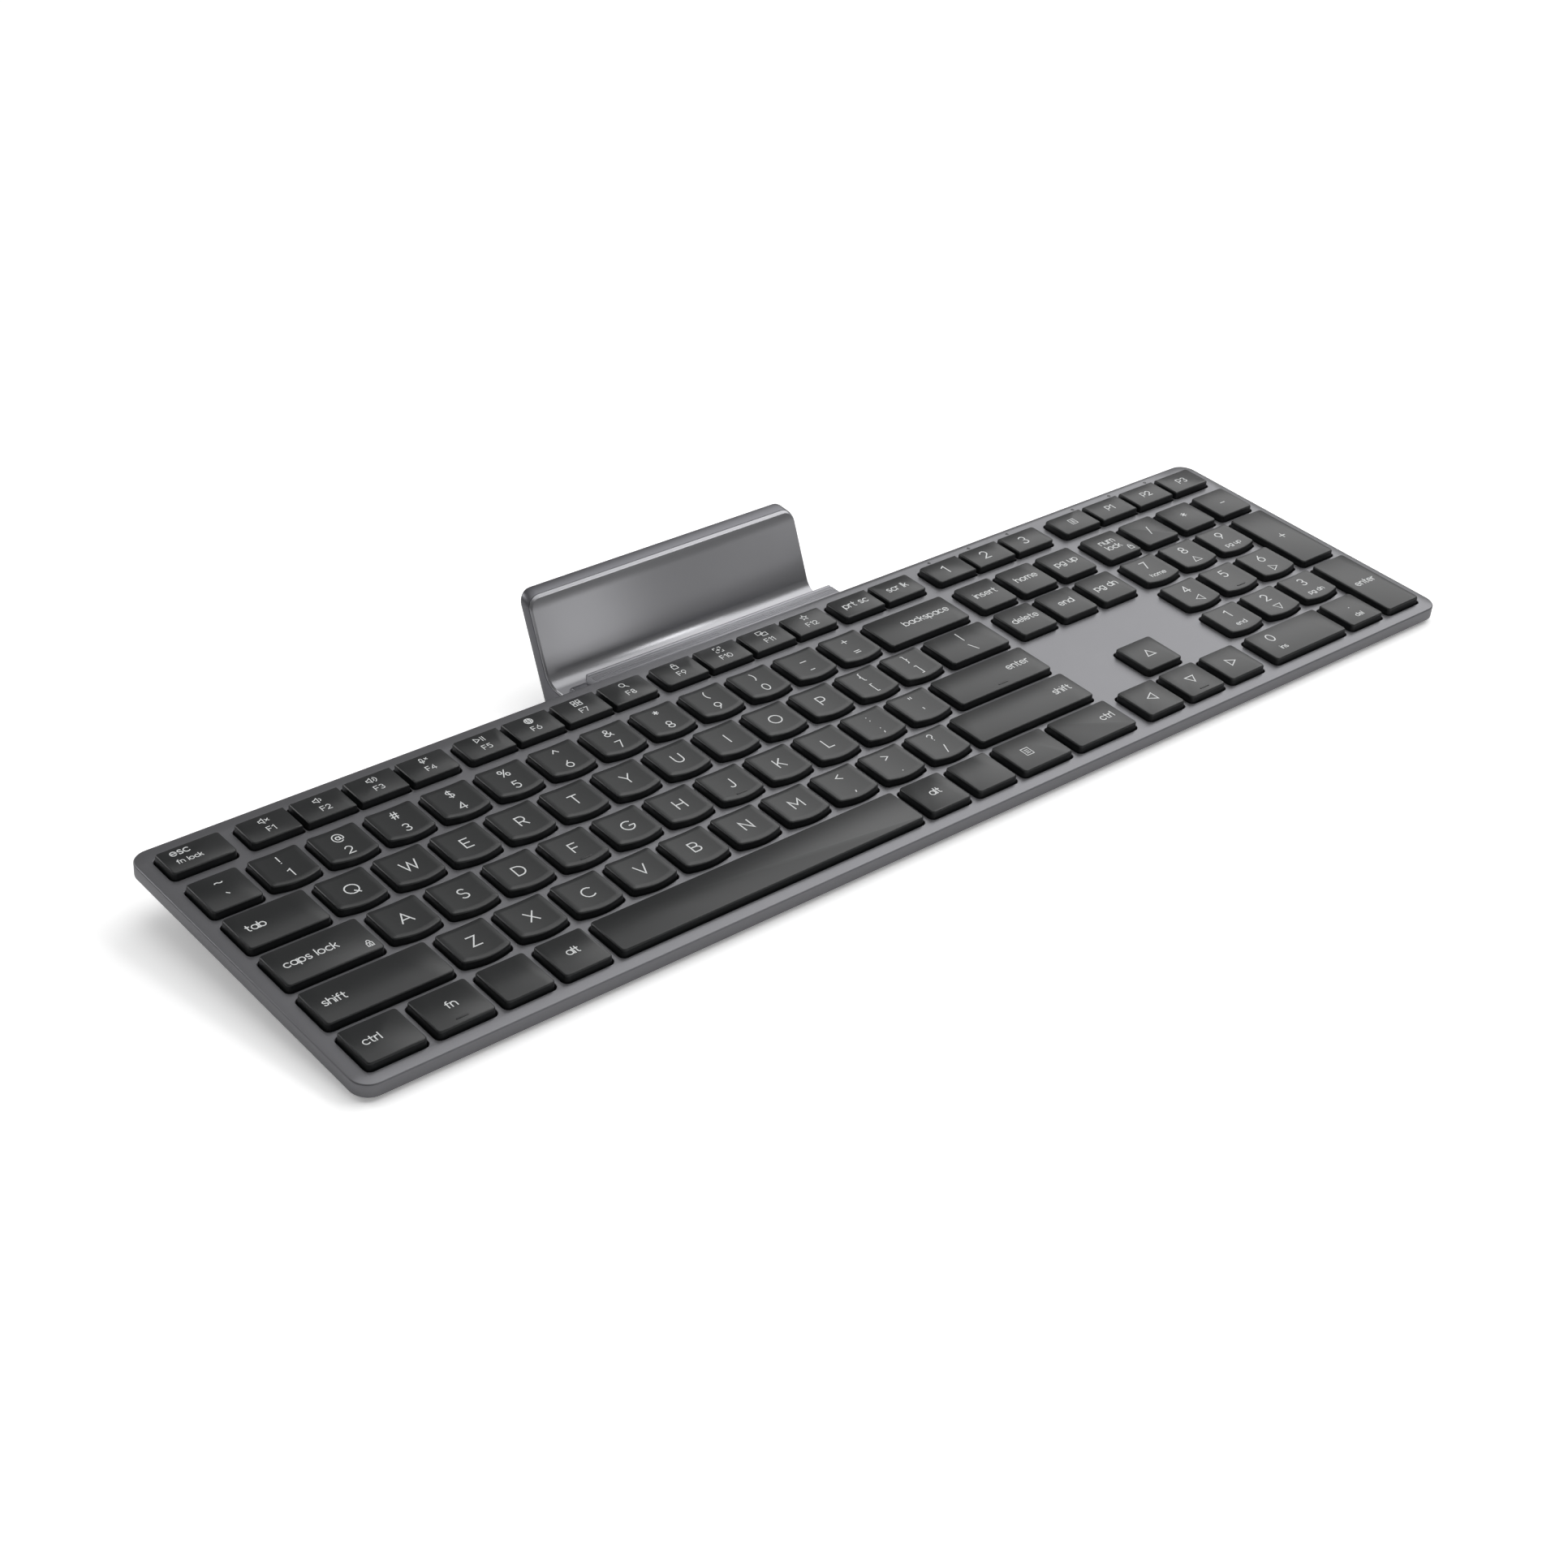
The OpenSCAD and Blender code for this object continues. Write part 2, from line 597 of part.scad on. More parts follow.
module status_lights() {
    color("#e9eef0") on_deck() for (p = lights)
        translate([p[0], p[1], flange_top + 0.1])
            cylinder(h = deck_top - flange_top - 0.1, r = light_radius, $fn = 24);
}

module case_screws() {
    color("#5a5c60") on_deck() for (p = screw_spots) translate([p[0], p[1], floor_bottom]) {
        cylinder(h = screw_head_height, r = screw_head_radius, $fn = 32);
        cylinder(h = flange_top - floor_bottom + screw_depth - tip_gap, r = screw_radius, $fn = 32);
    }
}

module foot_pad(x, y) {
    translate([x - foot_length / 2, y - foot_depth / 2])
        polygon(rounded(foot_length, foot_depth, foot_depth / 2 - foot_flat, foot_steps));
}

// Everything below the desk plane is cut away, so each foot rests flat on the desk
module above_desk() {
    below = 20;
    difference() {
        children();
        translate([-case_w, -case_w, -below]) cube([2 * case_w, 2 * case_w, below]);
    }
}

module front_feet() {
    color("#1c1c1e") above_desk() on_deck() for (share = front_foot_shares)
        slab(floor_bottom - 2 * front_foot_height, floor_bottom)
            foot_pad(case_x0 + case_w / 2 + share * case_w, front_foot_y);
}

module rear_feet() {
    mid_y = (riser_y0 + riser_y1) / 2;
    color("#1c1c1e") on_deck() for (side = [-1, 1])
        translate([case_x0 + case_w / 2 + side * (riser_w / 2 - foot_length), mid_y,
                   desk_z(mid_y)])
            rotate([-deck_tilt, 0, 0]) slab(0, rear_foot_height) foot_pad(0, 0);
}

module cradle_rail() {
    center_y = rail_depth - rail_radius;
    upper_edge = arc(center_y, rail_height - rail_radius, rail_radius, 90, 0, rail_steps);
    lower_edge = arc(center_y, rail_radius, rail_radius, 0, -90, rail_steps);
    color("#98989c") on_deck() across(rail_x, rail_width)
        translate([case_y1, rail_bottom])
            polygon(concat([[0, rail_height]], upper_edge, lower_edge, [[0, 0]]));
}

// The ears reach from the riser's rear wall to the hinge axis, one at each end of the cradle
module hinge_ears() {
    ear_top = hinge_z + knuckle_radius;
    ear = concat([[riser_y1, ear_top]],
        arc(hinge_y, hinge_z, knuckle_radius, 90, -90, ear_steps),
        [[riser_y1, hinge_z - knuckle_radius]]);
    color("#4a4a4d") on_deck() for (side = [-1, 1])
        difference() {
            across(cradle_middle + side * (cradle_width / 2 + end_gap + ear_thickness / 2)
                - ear_thickness / 2, ear_thickness) polygon(ear);
            translate([cradle_middle - cradle_width, hinge_y, hinge_z]) rotate([0, 90, 0])
                cylinder(h = 2 * cradle_width, r = shaft_radius, $fn = 32);
        }
}

module hinge_shaft() {
    length = cradle_width + 2 * end_gap + 2 * ear_thickness;
    color("#a9acb0") on_deck()
        translate([cradle_middle - length / 2, hinge_y, hinge_z]) rotate([0, 90, 0])
            cylinder(h = length, r = shaft_radius, $fn = 32);
}

// Side profile of the cradle: knuckle, floor, bend, back and heel, in one sweep
cradle_profile = concat(
    arc(hinge_y, hinge_z, knuckle_radius, 270, knuckle_end, knuckle_steps),
    [[hinge_y + knuckle_radius + knuckle_blend, cradle_floor]],
    arc(bend_center[0], bend_center[1], cradle_bend, 270, 360 - cradle_lean, bend_steps),
    [front_top, rear_top],
    arc(heel_center[0], heel_center[1], heel_radius, -cradle_lean, -90 - deck_tilt, bend_steps));

// Everything below the cradle's top edge, with the two top corners rounded from front to rear
module corner_prism() {
    w = cradle_width;
    r = cradle_corner;
    h = 2 * (cradle_height + knuckle_radius + cradle_bend);
    depth = 4 * slot_depth + 4 * cradle_height;
    translate([cradle_middle - w / 2, front_top[0], front_top[1]])
        rotate([90 + top_tilt, 0, 0])
            translate([0, -h, -depth / 2]) linear_extrude(depth)
                polygon(concat([[0, 0], [w, 0]], arc(w - r, h - r, r, 0, 90, corner_steps),
                    arc(r, h - r, r, 90, 180, corner_steps)));
}

module pad_plate(from_front, to_front) {
    r = cradle_corner - rim_width;
    w = cradle_width - 2 * rim_width;
    translate([cradle_middle, bend_end[0], bend_end[1]])
        rotate([90 - cradle_lean, 0, 0])
            translate([-w / 2, 0, -to_front])
                linear_extrude(to_front - from_front)
                    polygon(concat([[0, 0], [w, 0]],
                        arc(w - r, cradle_height - rim_width - r, r, 0, 90, corner_steps),
                        arc(r, cradle_height - rim_width - r, r, 90, 180, corner_steps)));
}

// The lugs carry the hinge's load into the cradle's floor, at the two ends of the rail
module cradle_lugs() {
    top = hinge_z + knuckle_radius;
    nose = [hinge_y + lug_reach - lug_radius, top - lug_radius];
    for (side = [-1, 1])
        across(cradle_middle + side * (cradle_width / 2 - rim_width - lug_width / 2) - lug_width / 2,
            lug_width)
            polygon(concat([[hinge_y, cradle_floor - 1], [hinge_y, top]],
                arc(nose[0], nose[1], lug_radius, 90, 0, ear_steps),
                [[hinge_y + lug_reach, cradle_floor - 1]]));
}

module cradle() {
    color("#6f6f73") on_deck() difference() {
        union() {
            intersection() {
                across(cradle_middle - cradle_width / 2, cradle_width) polygon(cradle_profile);
                corner_prism();
            }
            cradle_lugs();
        }
        translate([cradle_middle - cradle_width, hinge_y, hinge_z]) rotate([0, 90, 0])
            cylinder(h = 2 * cradle_width, r = shaft_radius + hole_clearance, $fn = 32);
        pad_plate(-1, pad_recess + pad_thickness);
    }
}

module cradle_pad() {
    color("#8a8a8e") on_deck() pad_plate(pad_recess, pad_recess + pad_thickness);
}

top_case();
bottom_case();
membrane();
switch_plate();
rubber_domes();
scissor_arms();
battery_pack();
main_board();
charging_socket();
power_switch();
status_lights();
case_screws();
front_feet();
rear_feet();
cradle_rail();
hinge_ears();
hinge_shaft();
cradle();
cradle_pad();
key_caps(escape_caps);  // keys_escape
key_caps(f1_caps);  // keys_f1_f4
key_caps(f5_caps);  // keys_f5_f8
key_caps(f9_caps);  // keys_f9_f12
key_caps(print_caps);  // keys_print_scroll
key_caps(device_caps);  // keys_devices
key_caps(macro_caps);  // keys_macro
key_caps(main_caps(4, 0, 12));  // keys_numbers
key_caps(main_caps(4, 13, 13));  // key_backspace
key_caps(main_caps(3, 0, 0));  // key_tab
key_caps(main_caps(3, 1, 13));  // keys_upper_letters
key_caps(main_caps(2, 0, 0));  // key_caps_lock
key_caps(main_caps(2, 1, 11));  // keys_home_letters
key_caps(main_caps(2, 12, 12));  // key_enter
key_caps(main_caps(1, 0, 0));  // key_left_shift
key_caps(main_caps(1, 1, 10));  // keys_lower_letters
key_caps(main_caps(1, 11, 11));  // key_right_shift
key_caps(main_caps(0, 0, 3));  // keys_left_modifiers
key_caps(main_caps(0, 4, 4));  // key_space
key_caps(main_caps(0, 5, 8));  // keys_right_modifiers
key_caps(navigation_caps);  // keys_navigation
key_caps(arrow_caps);  // keys_arrows
key_caps([pad_top_caps[0]]);  // pad_num_lock
key_caps([pad_top_caps[1]]);  // pad_divide
key_caps([pad_top_caps[2]]);  // pad_multiply
key_caps([pad_top_caps[3]]);  // pad_subtract
key_caps([pad_add_cap]);  // pad_add
key_caps([pad_digit_caps[0]]);  // pad_1
key_caps([pad_digit_caps[1]]);  // pad_2
key_caps([pad_digit_caps[2]]);  // pad_3
key_caps([pad_digit_caps[3]]);  // pad_4
key_caps([pad_digit_caps[4]]);  // pad_5
key_caps([pad_digit_caps[5]]);  // pad_6
key_caps([pad_digit_caps[6]]);  // pad_7
key_caps([pad_digit_caps[7]]);  // pad_8
key_caps([pad_digit_caps[8]]);  // pad_9
key_caps([pad_enter_cap]);  // pad_enter
key_caps([pad_zero_cap]);  // pad_0
key_caps([pad_point_cap]);  // pad_decimal
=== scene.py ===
"""Looks of a low-profile keyboard with a numeric keypad and a rear cradle for a phone or tablet.

Most pieces are modelled in deck millimetres: u to the right, v to the rear along the tilted deck
and w up from it, about the row frame's origin. DECK turns a finished mesh into the row frame.
"""

import json
import math
from collections import namedtuple

import bmesh
import bpy
from mathutils import Matrix, Vector


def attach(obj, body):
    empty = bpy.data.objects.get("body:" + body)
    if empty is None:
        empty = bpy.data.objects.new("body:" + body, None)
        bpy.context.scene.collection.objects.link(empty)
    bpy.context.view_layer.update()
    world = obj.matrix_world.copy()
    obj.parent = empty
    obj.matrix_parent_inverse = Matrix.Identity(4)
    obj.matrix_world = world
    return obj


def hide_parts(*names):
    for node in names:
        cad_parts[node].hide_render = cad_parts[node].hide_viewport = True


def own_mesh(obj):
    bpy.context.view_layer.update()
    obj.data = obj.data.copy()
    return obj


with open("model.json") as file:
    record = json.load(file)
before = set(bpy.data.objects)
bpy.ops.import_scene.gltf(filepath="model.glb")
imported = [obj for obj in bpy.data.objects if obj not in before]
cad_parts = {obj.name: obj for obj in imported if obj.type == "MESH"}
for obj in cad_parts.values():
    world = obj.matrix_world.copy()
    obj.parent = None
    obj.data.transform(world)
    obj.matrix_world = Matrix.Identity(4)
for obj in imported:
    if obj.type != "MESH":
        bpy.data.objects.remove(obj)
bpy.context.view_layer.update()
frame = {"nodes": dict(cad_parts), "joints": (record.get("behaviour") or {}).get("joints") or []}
scene = bpy.context.scene
nodes = frame["nodes"]
joints = {joint["name"]: joint for joint in frame["joints"]}

MM = 0.001
press_axis = joints["keys_numbers_press"]["axis"]
TILT = math.atan2(press_axis[1], -press_axis[2])
DECK = Matrix.Rotation(TILT, 4, "X") @ Matrix.Scale(MM, 4)

# ---------------------------------------------------------------- camera, floor, lamps

camera = bpy.data.objects.new("camera", bpy.data.cameras.new("camera"))
scene.collection.objects.link(camera)
camera.data.sensor_width = 36
camera.data.lens = 61.43
CAMERA_AT = Vector((-0.4865, -0.55988, 0.4042))
CAMERA_AIM = Vector((-0.0510, -0.04558, 0.0200))
camera.location = CAMERA_AT
camera.rotation_mode = "QUATERNION"
camera.rotation_quaternion = (CAMERA_AIM - CAMERA_AT).to_track_quat("-Z", "Y")
camera.data.clip_start = 0.05
camera.data.clip_end = 50
scene.camera = camera


def srgb(hex_text):
    """An sRGB hex colour as linear RGBA."""
    channels = [int(hex_text[i:i + 2], 16) / 255 for i in (0, 2, 4)]
    linear = [c / 12.92 if c <= 0.04045 else ((c + 0.055) / 1.055) ** 2.4 for c in channels]
    return linear + [1.0]


def add(tree, kind, links=(), **settings):
    """Adds a node to the tree. Settings are the node's own properties or, by name, its inputs'
    values; links are pairs of an input and the output socket or value that feeds it."""
    node = tree.nodes.new(kind)
    for name, value in settings.items():
        if hasattr(node, name):
            setattr(node, name, value)
        else:
            node.inputs[name.replace("_", " ")].default_value = value
    for name, source in links:
        if isinstance(source, bpy.types.NodeSocket):
            tree.links.new(source, node.inputs[name])
        else:
            node.inputs[name].default_value = source
    return node


def backdrop_rays(tree, path):
    """1 for the rays that see the white backdrop: camera, glossy and transmission rays."""
    direct = add(tree, "ShaderNodeMath", [(0, path.outputs["Is Camera Ray"]),
                                          (1, path.outputs["Is Glossy Ray"])],
                 operation="MAXIMUM")
    either = add(tree, "ShaderNodeMath", [(0, direct.outputs[0]),
                                          (1, path.outputs["Is Transmission Ray"])],
                 operation="MAXIMUM")
    return either.outputs[0]


# Metres from the middle: where the floor begins to turn into the plain backdrop, where it has
# turned, and where it ends
FLOOR_FADE_START = 0.55
FLOOR_FADE_END = 1.3
FLOOR_RADIUS = 3.0
FLOOR_WHITE = srgb("f2f2f2")[:3]
# How much paler the camera sees the floor than the object does: in its colour, and as a glow
FLOOR_GAIN = 0.3
FLOOR_LIFT = 0.22


def make_floor():
    """White floor that keeps the shadow near the object and runs out into the white world."""
    mesh = bpy.data.meshes.new("floor")
    bm = bmesh.new()
    bmesh.ops.create_circle(bm, cap_ends=True, segments=96, radius=FLOOR_RADIUS)
    bm.to_mesh(mesh)
    bm.free()
    floor = bpy.data.objects.new("floor", mesh)
    scene.collection.objects.link(floor)
    material = bpy.data.materials.new("matt_white_floor")
    material.use_nodes = True
    tree = material.node_tree
    tree.nodes.clear()
    place = add(tree, "ShaderNodeTexCoord")
    radius = add(tree, "ShaderNodeVectorMath", [(0, place.outputs["Object"])], operation="LENGTH")
    fade = add(tree, "ShaderNodeMapRange", [("Value", radius.outputs["Value"])],
               interpolation_type="SMOOTHSTEP", From_Min=FLOOR_FADE_START,
               From_Max=FLOOR_FADE_END)
    path = add(tree, "ShaderNodeLightPath")
    gain = add(tree, "ShaderNodeMath", [(0, path.outputs["Is Camera Ray"]), (1, FLOOR_GAIN),
                                        (2, 1.0)], operation="MULTIPLY_ADD")
    shade = add(tree, "ShaderNodeVectorMath", [(0, FLOOR_WHITE), ("Scale", gain.outputs[0])],
                operation="SCALE")
    paint = add(tree, "ShaderNodeBsdfDiffuse", [("Color", shade.outputs[0])])
    lift = add(tree, "ShaderNodeMath", [(0, path.outputs["Is Camera Ray"]), (1, FLOOR_LIFT)],
               operation="MULTIPLY")
    glow = add(tree, "ShaderNodeEmission", [("Strength", lift.outputs[0])])
    near = add(tree, "ShaderNodeAddShader", [(0, paint.outputs[0]), (1, glow.outputs[0])])
    white = add(tree, "ShaderNodeEmission", [("Strength", backdrop_rays(tree, path))])
    mixed = add(tree, "ShaderNodeMixShader", [("Fac", fade.outputs["Result"]),
                                              (1, near.outputs[0]), (2, white.outputs[0])])
    add(tree, "ShaderNodeOutputMaterial", [("Surface", mixed.outputs[0])])
    mesh.materials.append(material)


# Strengths that gloss sees at the horizon and above SKY_FROM, the sine of an elevation, and the
# strength of the even fill
HORIZON_LEVEL = 0.8
SKY_LEVEL = 0.225
SKY_FROM = 0.2
AMBIENT_LEVEL = 0.305


def make_world():
    """White to the camera, a grey sky above a paler horizon to gloss, and an even fill."""
    world = bpy.data.worlds.new("studio")
    scene.world = world
    world.use_nodes = True
    tree = world.node_tree
    tree.nodes.clear()
    direction = add(tree, "ShaderNodeTexCoord")
    height = add(tree, "ShaderNodeSeparateXYZ", [(0, direction.outputs["Generated"])])
    ramp = add(tree, "ShaderNodeMapRange", [("Value", height.outputs["Z"])],
               interpolation_type="SMOOTHSTEP", From_Min=0.0, From_Max=SKY_FROM,
               To_Min=HORIZON_LEVEL, To_Max=SKY_LEVEL)
    path = add(tree, "ShaderNodeLightPath")
    level = add(tree, "ShaderNodeMath", [(0, path.outputs["Is Camera Ray"]),
                                         (1, ramp.outputs["Result"])], operation="MAXIMUM")
    white = srgb("ffffff")
    backdrop = add(tree, "ShaderNodeBackground", [("Strength", level.outputs[0])], Color=white)
    fill = add(tree, "ShaderNodeBackground", Color=white, Strength=AMBIENT_LEVEL)
    mixed = add(tree, "ShaderNodeMixShader", [("Fac", backdrop_rays(tree, path)),
                                              (1, fill.outputs[0]), (2, backdrop.outputs[0])])
    add(tree, "ShaderNodeOutputWorld", [("Surface", mixed.outputs[0])])


def make_lamp(name, at, aim, width, depth, watts):
    """A softbox: a rectangular lamp that the camera doesn't see."""
    lamp = bpy.data.objects.new(name, bpy.data.lights.new(name, "AREA"))
    lamp.data.shape = "RECTANGLE"
    lamp.data.size = width
    lamp.data.size_y = depth
    lamp.data.energy = watts
    lamp.visible_camera = False
    lamp.location = at
    lamp.rotation_mode = "QUATERNION"
    lamp.rotation_quaternion = (Vector(aim) - Vector(at)).to_track_quat("-Z", "Y")
    scene.collection.objects.link(lamp)


# Place, aim, width and depth in metres, and watts
LAMPS = {
    "softbox_right_rear": ((1.9, 0.45, 1.7), (0, 0, 0), 2.4, 1.9, 28),
    "softbox_overhead": ((0.2, 0.1, 2.2), (0, 0, 0), 2.0, 1.6, 12),
    "card_front": ((0.45, -2.3, 0.35), (0, 0.1, 0), 1.0, 0.7, 2.2),
    "edge_front_right": ((1.2, -1.04, 1.68), (0, 0, 0), 0.6, 0.6, 6),
    "edge_rear_left": ((-1.04, 1.68, 1.2), (0, 0, 0), 0.6, 0.6, 6),
}

make_floor()
make_world()
for lamp_name, lamp_settings in LAMPS.items():
    make_lamp(lamp_name, *lamp_settings)

scene.view_settings.view_transform = "Standard"

# ---------------------------------------------------------------- materials

# Patches of colour and roughness about 40 mm across, per metre
MOTTLE_SCALE = 24.0


def finish(name, colour, roughness, metallic=0.0, ior=1.5, grain=0.0, bump=0.0,
           stretch=(1, 1, 1), mottle=0.0, wear=0.05, coat=0.0):
    """A material: grain is the size of its surface texture in millimetres and bump that
    texture's height, stretched by stretch; mottle varies the colour and wear the roughness."""
    material = bpy.data.materials.new(name)
    material.use_nodes = True
    tree = material.node_tree
    tree.nodes.clear()
    shader = add(tree, "ShaderNodeBsdfPrincipled", Base_Color=srgb(colour), Metallic=metallic,
                 Roughness=roughness, IOR=ior, Coat_Weight=coat)
    place = add(tree, "ShaderNodeTexCoord")
    if mottle:
        patches = add(tree, "ShaderNodeTexNoise", [("Vector", place.outputs["Object"])],
                      Scale=MOTTLE_SCALE, Detail=4.0, Roughness=0.6)
        tint = add(tree, "ShaderNodeMapRange", [("Value", patches.outputs["Fac"])],
                   To_Min=1 - mottle, To_Max=1 + mottle)
        shade = add(tree, "ShaderNodeVectorMath",
                    [(0, srgb(colour)[:3]), ("Scale", tint.outputs["Result"])],
                    operation="SCALE")
        tree.links.new(shade.outputs[0], shader.inputs["Base Color"])
        rub = add(tree, "ShaderNodeMapRange", [("Value", patches.outputs["Fac"])],
                  To_Min=roughness - wear, To_Max=roughness + wear)
        tree.links.new(rub.outputs["Result"], shader.inputs["Roughness"])
    if bump:
        laid = add(tree, "ShaderNodeMapping", [("Vector", place.outputs["Object"])],
                   Scale=stretch)
        texture = add(tree, "ShaderNodeTexNoise", [("Vector", laid.outputs[0])],
                      Scale=1 / (grain * MM), Detail=3.0, Roughness=0.55)
        relief = add(tree, "ShaderNodeBump", [("Height", texture.outputs["Fac"])],
                     Strength=1.0, Distance=bump * MM)
        tree.links.new(relief.outputs[0], shader.inputs["Normal"])
    add(tree, "ShaderNodeOutputMaterial", [("Surface", shader.outputs[0])])
    return material


# Anodised aluminium, bead-blasted: a satin grey metal with a fine, even grain.
# The blast is about 0.15 mm; it is drawn at 0.5 mm so that it shows.
DECK_METAL = finish("anodised_aluminium", "79797c", 0.36, metallic=0.75, grain=0.5, bump=0.012,
                    mottle=0.03)
# Moulded ABS keycaps with a spark-eroded skin: charcoal, matt, a broad soft sheen.
CAP_PLASTIC = finish("moulded_abs_keycap", "151718", 0.33, ior=1.52, grain=0.35, bump=0.006,
                     mottle=0.05, wear=0.03)
# UV-cured pad print: pale grey ink, a little smoother than the cap.
LEGEND_INK = finish("pad_printed_ink", "dcdede", 0.5, mottle=0.02)
# Moulded PC-ABS base with a coarse texture.
BASE_PLASTIC = finish("moulded_pc_abs", "3f4043", 0.55, grain=0.9, bump=0.03, mottle=0.04)
# Lacquered PC-ABS cradle: metallic grey lacquer, smooth with a soft gloss.
CRADLE_LACQUER = finish("metallic_lacquer", "6c6c70", 0.36, metallic=0.9, grain=0.4, bump=0.006,
                        mottle=0.03)
# The cradle's face: the same lacquer, polished to a brighter satin.
CRADLE_SATIN = finish("satin_lacquer", "9b9b9e", 0.3, metallic=0.95, grain=0.5, bump=0.003,
                      mottle=0.02)
# Brushed aluminium rail: hairlines along its length.
RAIL_METAL = finish("brushed_aluminium", "8e8e92", 0.38, metallic=1.0, grain=0.35, bump=0.05,
                    stretch=(0.02, 1, 1), mottle=0.03)
# Silicone rubber feet.
FOOT_RUBBER = finish("silicone_rubber", "1d1d1f", 0.75, ior=1.43, grain=0.6, bump=0.02,
                     mottle=0.05)
# Ground and polished steel shaft.
SHAFT_STEEL = finish("ground_steel", "b4b6b9", 0.24, metallic=1.0, grain=0.2, bump=0.01,
                     stretch=(1, 0.05, 0.05), mottle=0.03)
# Black zinc-plated screws.
SCREW_STEEL = finish("black_zinc_steel", "4a4b4f", 0.34, metallic=1.0, grain=0.3, bump=0.01,
                     mottle=0.05)
# Stamped steel plate under the keys, dulled by its zinc plating.
PLATE_STEEL = finish("zinc_plated_steel", "55585c", 0.5, metallic=1.0, grain=1.2, bump=0.01,
                     mottle=0.12)
# Carbon-printed polyester film over the plate: near black, a weak gloss.
MEMBRANE_FILM = finish("carbon_printed_polyester", "121314", 0.35, ior=1.57, grain=2.0,
                       bump=0.01, mottle=0.06)
# Silicone domes, smoky.
DOME_RUBBER = finish("dome_silicone", "8b8c8a", 0.5, ior=1.43, grain=0.5, bump=0.005,
                     mottle=0.04)
# Acetal scissor links, moulded black.
SCISSOR_ACETAL = finish("black_acetal", "1a1a1b", 0.4, ior=1.48, grain=0.5, bump=0.005,
                        mottle=0.04)
# Shrink-wrapped PVC sleeve round the battery pack.
BATTERY_WRAP = finish("pvc_sleeve", "1f4a3a", 0.3, ior=1.54, grain=4.0, bump=0.08, mottle=0.04)
# Glass-epoxy board under green solder mask.
BOARD_LAMINATE = finish("solder_mask_laminate", "16402c", 0.35, ior=1.55, grain=0.7, bump=0.01,
                        mottle=0.08, coat=0.3)
# Deep-drawn stainless socket shell.
SOCKET_STEEL = finish("drawn_stainless_steel", "b9bbbe", 0.28, metallic=1.0, grain=0.4,
                      bump=0.006, mottle=0.03)
# Moulded ABS slider of the power switch.
SWITCH_PLASTIC = finish("moulded_abs_slider", "232325", 0.5, grain=0.4, bump=0.01, mottle=0.04)
# Smoked polycarbonate light pipes, unlit.
LIGHT_PIPE = finish("smoked_polycarbonate", "0c0d0e", 0.2, ior=1.585, grain=0.3, bump=0.002,
                    mottle=0.04)

# ---------------------------------------------------------------- meshes

WELD = 0.002
# Shading is smooth over edges that turn by less than this many degrees
CREASE = 32


def deck_mesh(node):
    """A welded copy of the node's mesh in deck millimetres."""
    bm = bmesh.new()
    bm.from_mesh(nodes[node].data)
    bmesh.ops.transform(bm, matrix=DECK.inverted(), verts=bm.verts)
    bmesh.ops.remove_doubles(bm, verts=bm.verts, dist=WELD)
    return bm


def solids(node):
    """The node's separate solids in deck millimetres, front row first and left to right: a list
    of (lowest corner, highest corner, points)."""
    bm = deck_mesh(node)
    found = []
    left = set(bm.verts)
    while left:
        group = [left.pop()]
        for vert in group:
            for edge in vert.link_edges:
                other = edge.other_vert(vert)
                if other in left:
                    left.remove(other)
                    group.append(other)
        points = [v.co.copy() for v in group]
        low = Vector([min(p[i] for p in points) for i in range(3)])
        high = Vector([max(p[i] for p in points) for i in range(3)])
        found.append((low, high, points))
    bm.free()
    return sorted(found, key=lambda s: (round(s[0].y), s[0].x))


def make_piece(name, bm, body, materials, replaced=(), crease=CREASE):
    """Turns the bmesh into a piece that rides on body and takes the place of CAD nodes."""
    bmesh.ops.transform(bm, matrix=DECK, verts=bm.verts)
    mesh = bpy.data.meshes.new(name)
    bm.to_mesh(mesh)
    bm.free()
    for material in materials:
        mesh.materials.append(material)
    mesh.shade_smooth()
    mesh.set_sharp_from_angle(angle=math.radians(crease))
    piece = bpy.data.objects.new(name, mesh)
    scene.collection.objects.link(piece)
    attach(piece, body)
    if replaced:
        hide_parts(*replaced)
    return piece


def arc(u, v, radius, start, end, steps):
    """Points on a circular arc, angles in degrees."""
    angles = [math.radians(start + (end - start) * i / steps) for i in range(steps + 1)]
    return [(u + radius * math.cos(a), v + radius * math.sin(a)) for a in angles]


def spread(start, end, count):
    """Evenly spaced values from start to end."""
    return [start + (end - start) * i / (count - 1) for i in range(count)]


def ring(bm, outline, height):
    """Vertices along a closed outline. height is a number or a function of u and v."""
    level = height if callable(height) else lambda u, v: height
    return [bm.verts.new((u, v, level(u, v))) for u, v in outline]


def bridge(bm, low, high, closed=True):
    """Quads between two rings of the same length."""
    count = len(low)
    for i in range(count if closed else count - 1):
        j = (i + 1) % count
        bm.faces.new((low[i], low[j], high[j], high[i]))


def stack(bm, rings, closed=True):
    """Bridges each ring to the next."""
    for low, high in zip(rings, rings[1:]):
        bridge(bm, low, high, closed)


def prism(bm, outline, start, end, upright=False):
    """A solid with the outline as its side view from u = start to end or, when upright, as its
    plan from w = start to end."""
    ends = [[bm.verts.new((a, b, h) if upright else (h, a, b)) for a, b in outline]
            for h in (start, end)]
    bridge(bm, *ends)
    for face in ends:
        bm.faces.new(face)


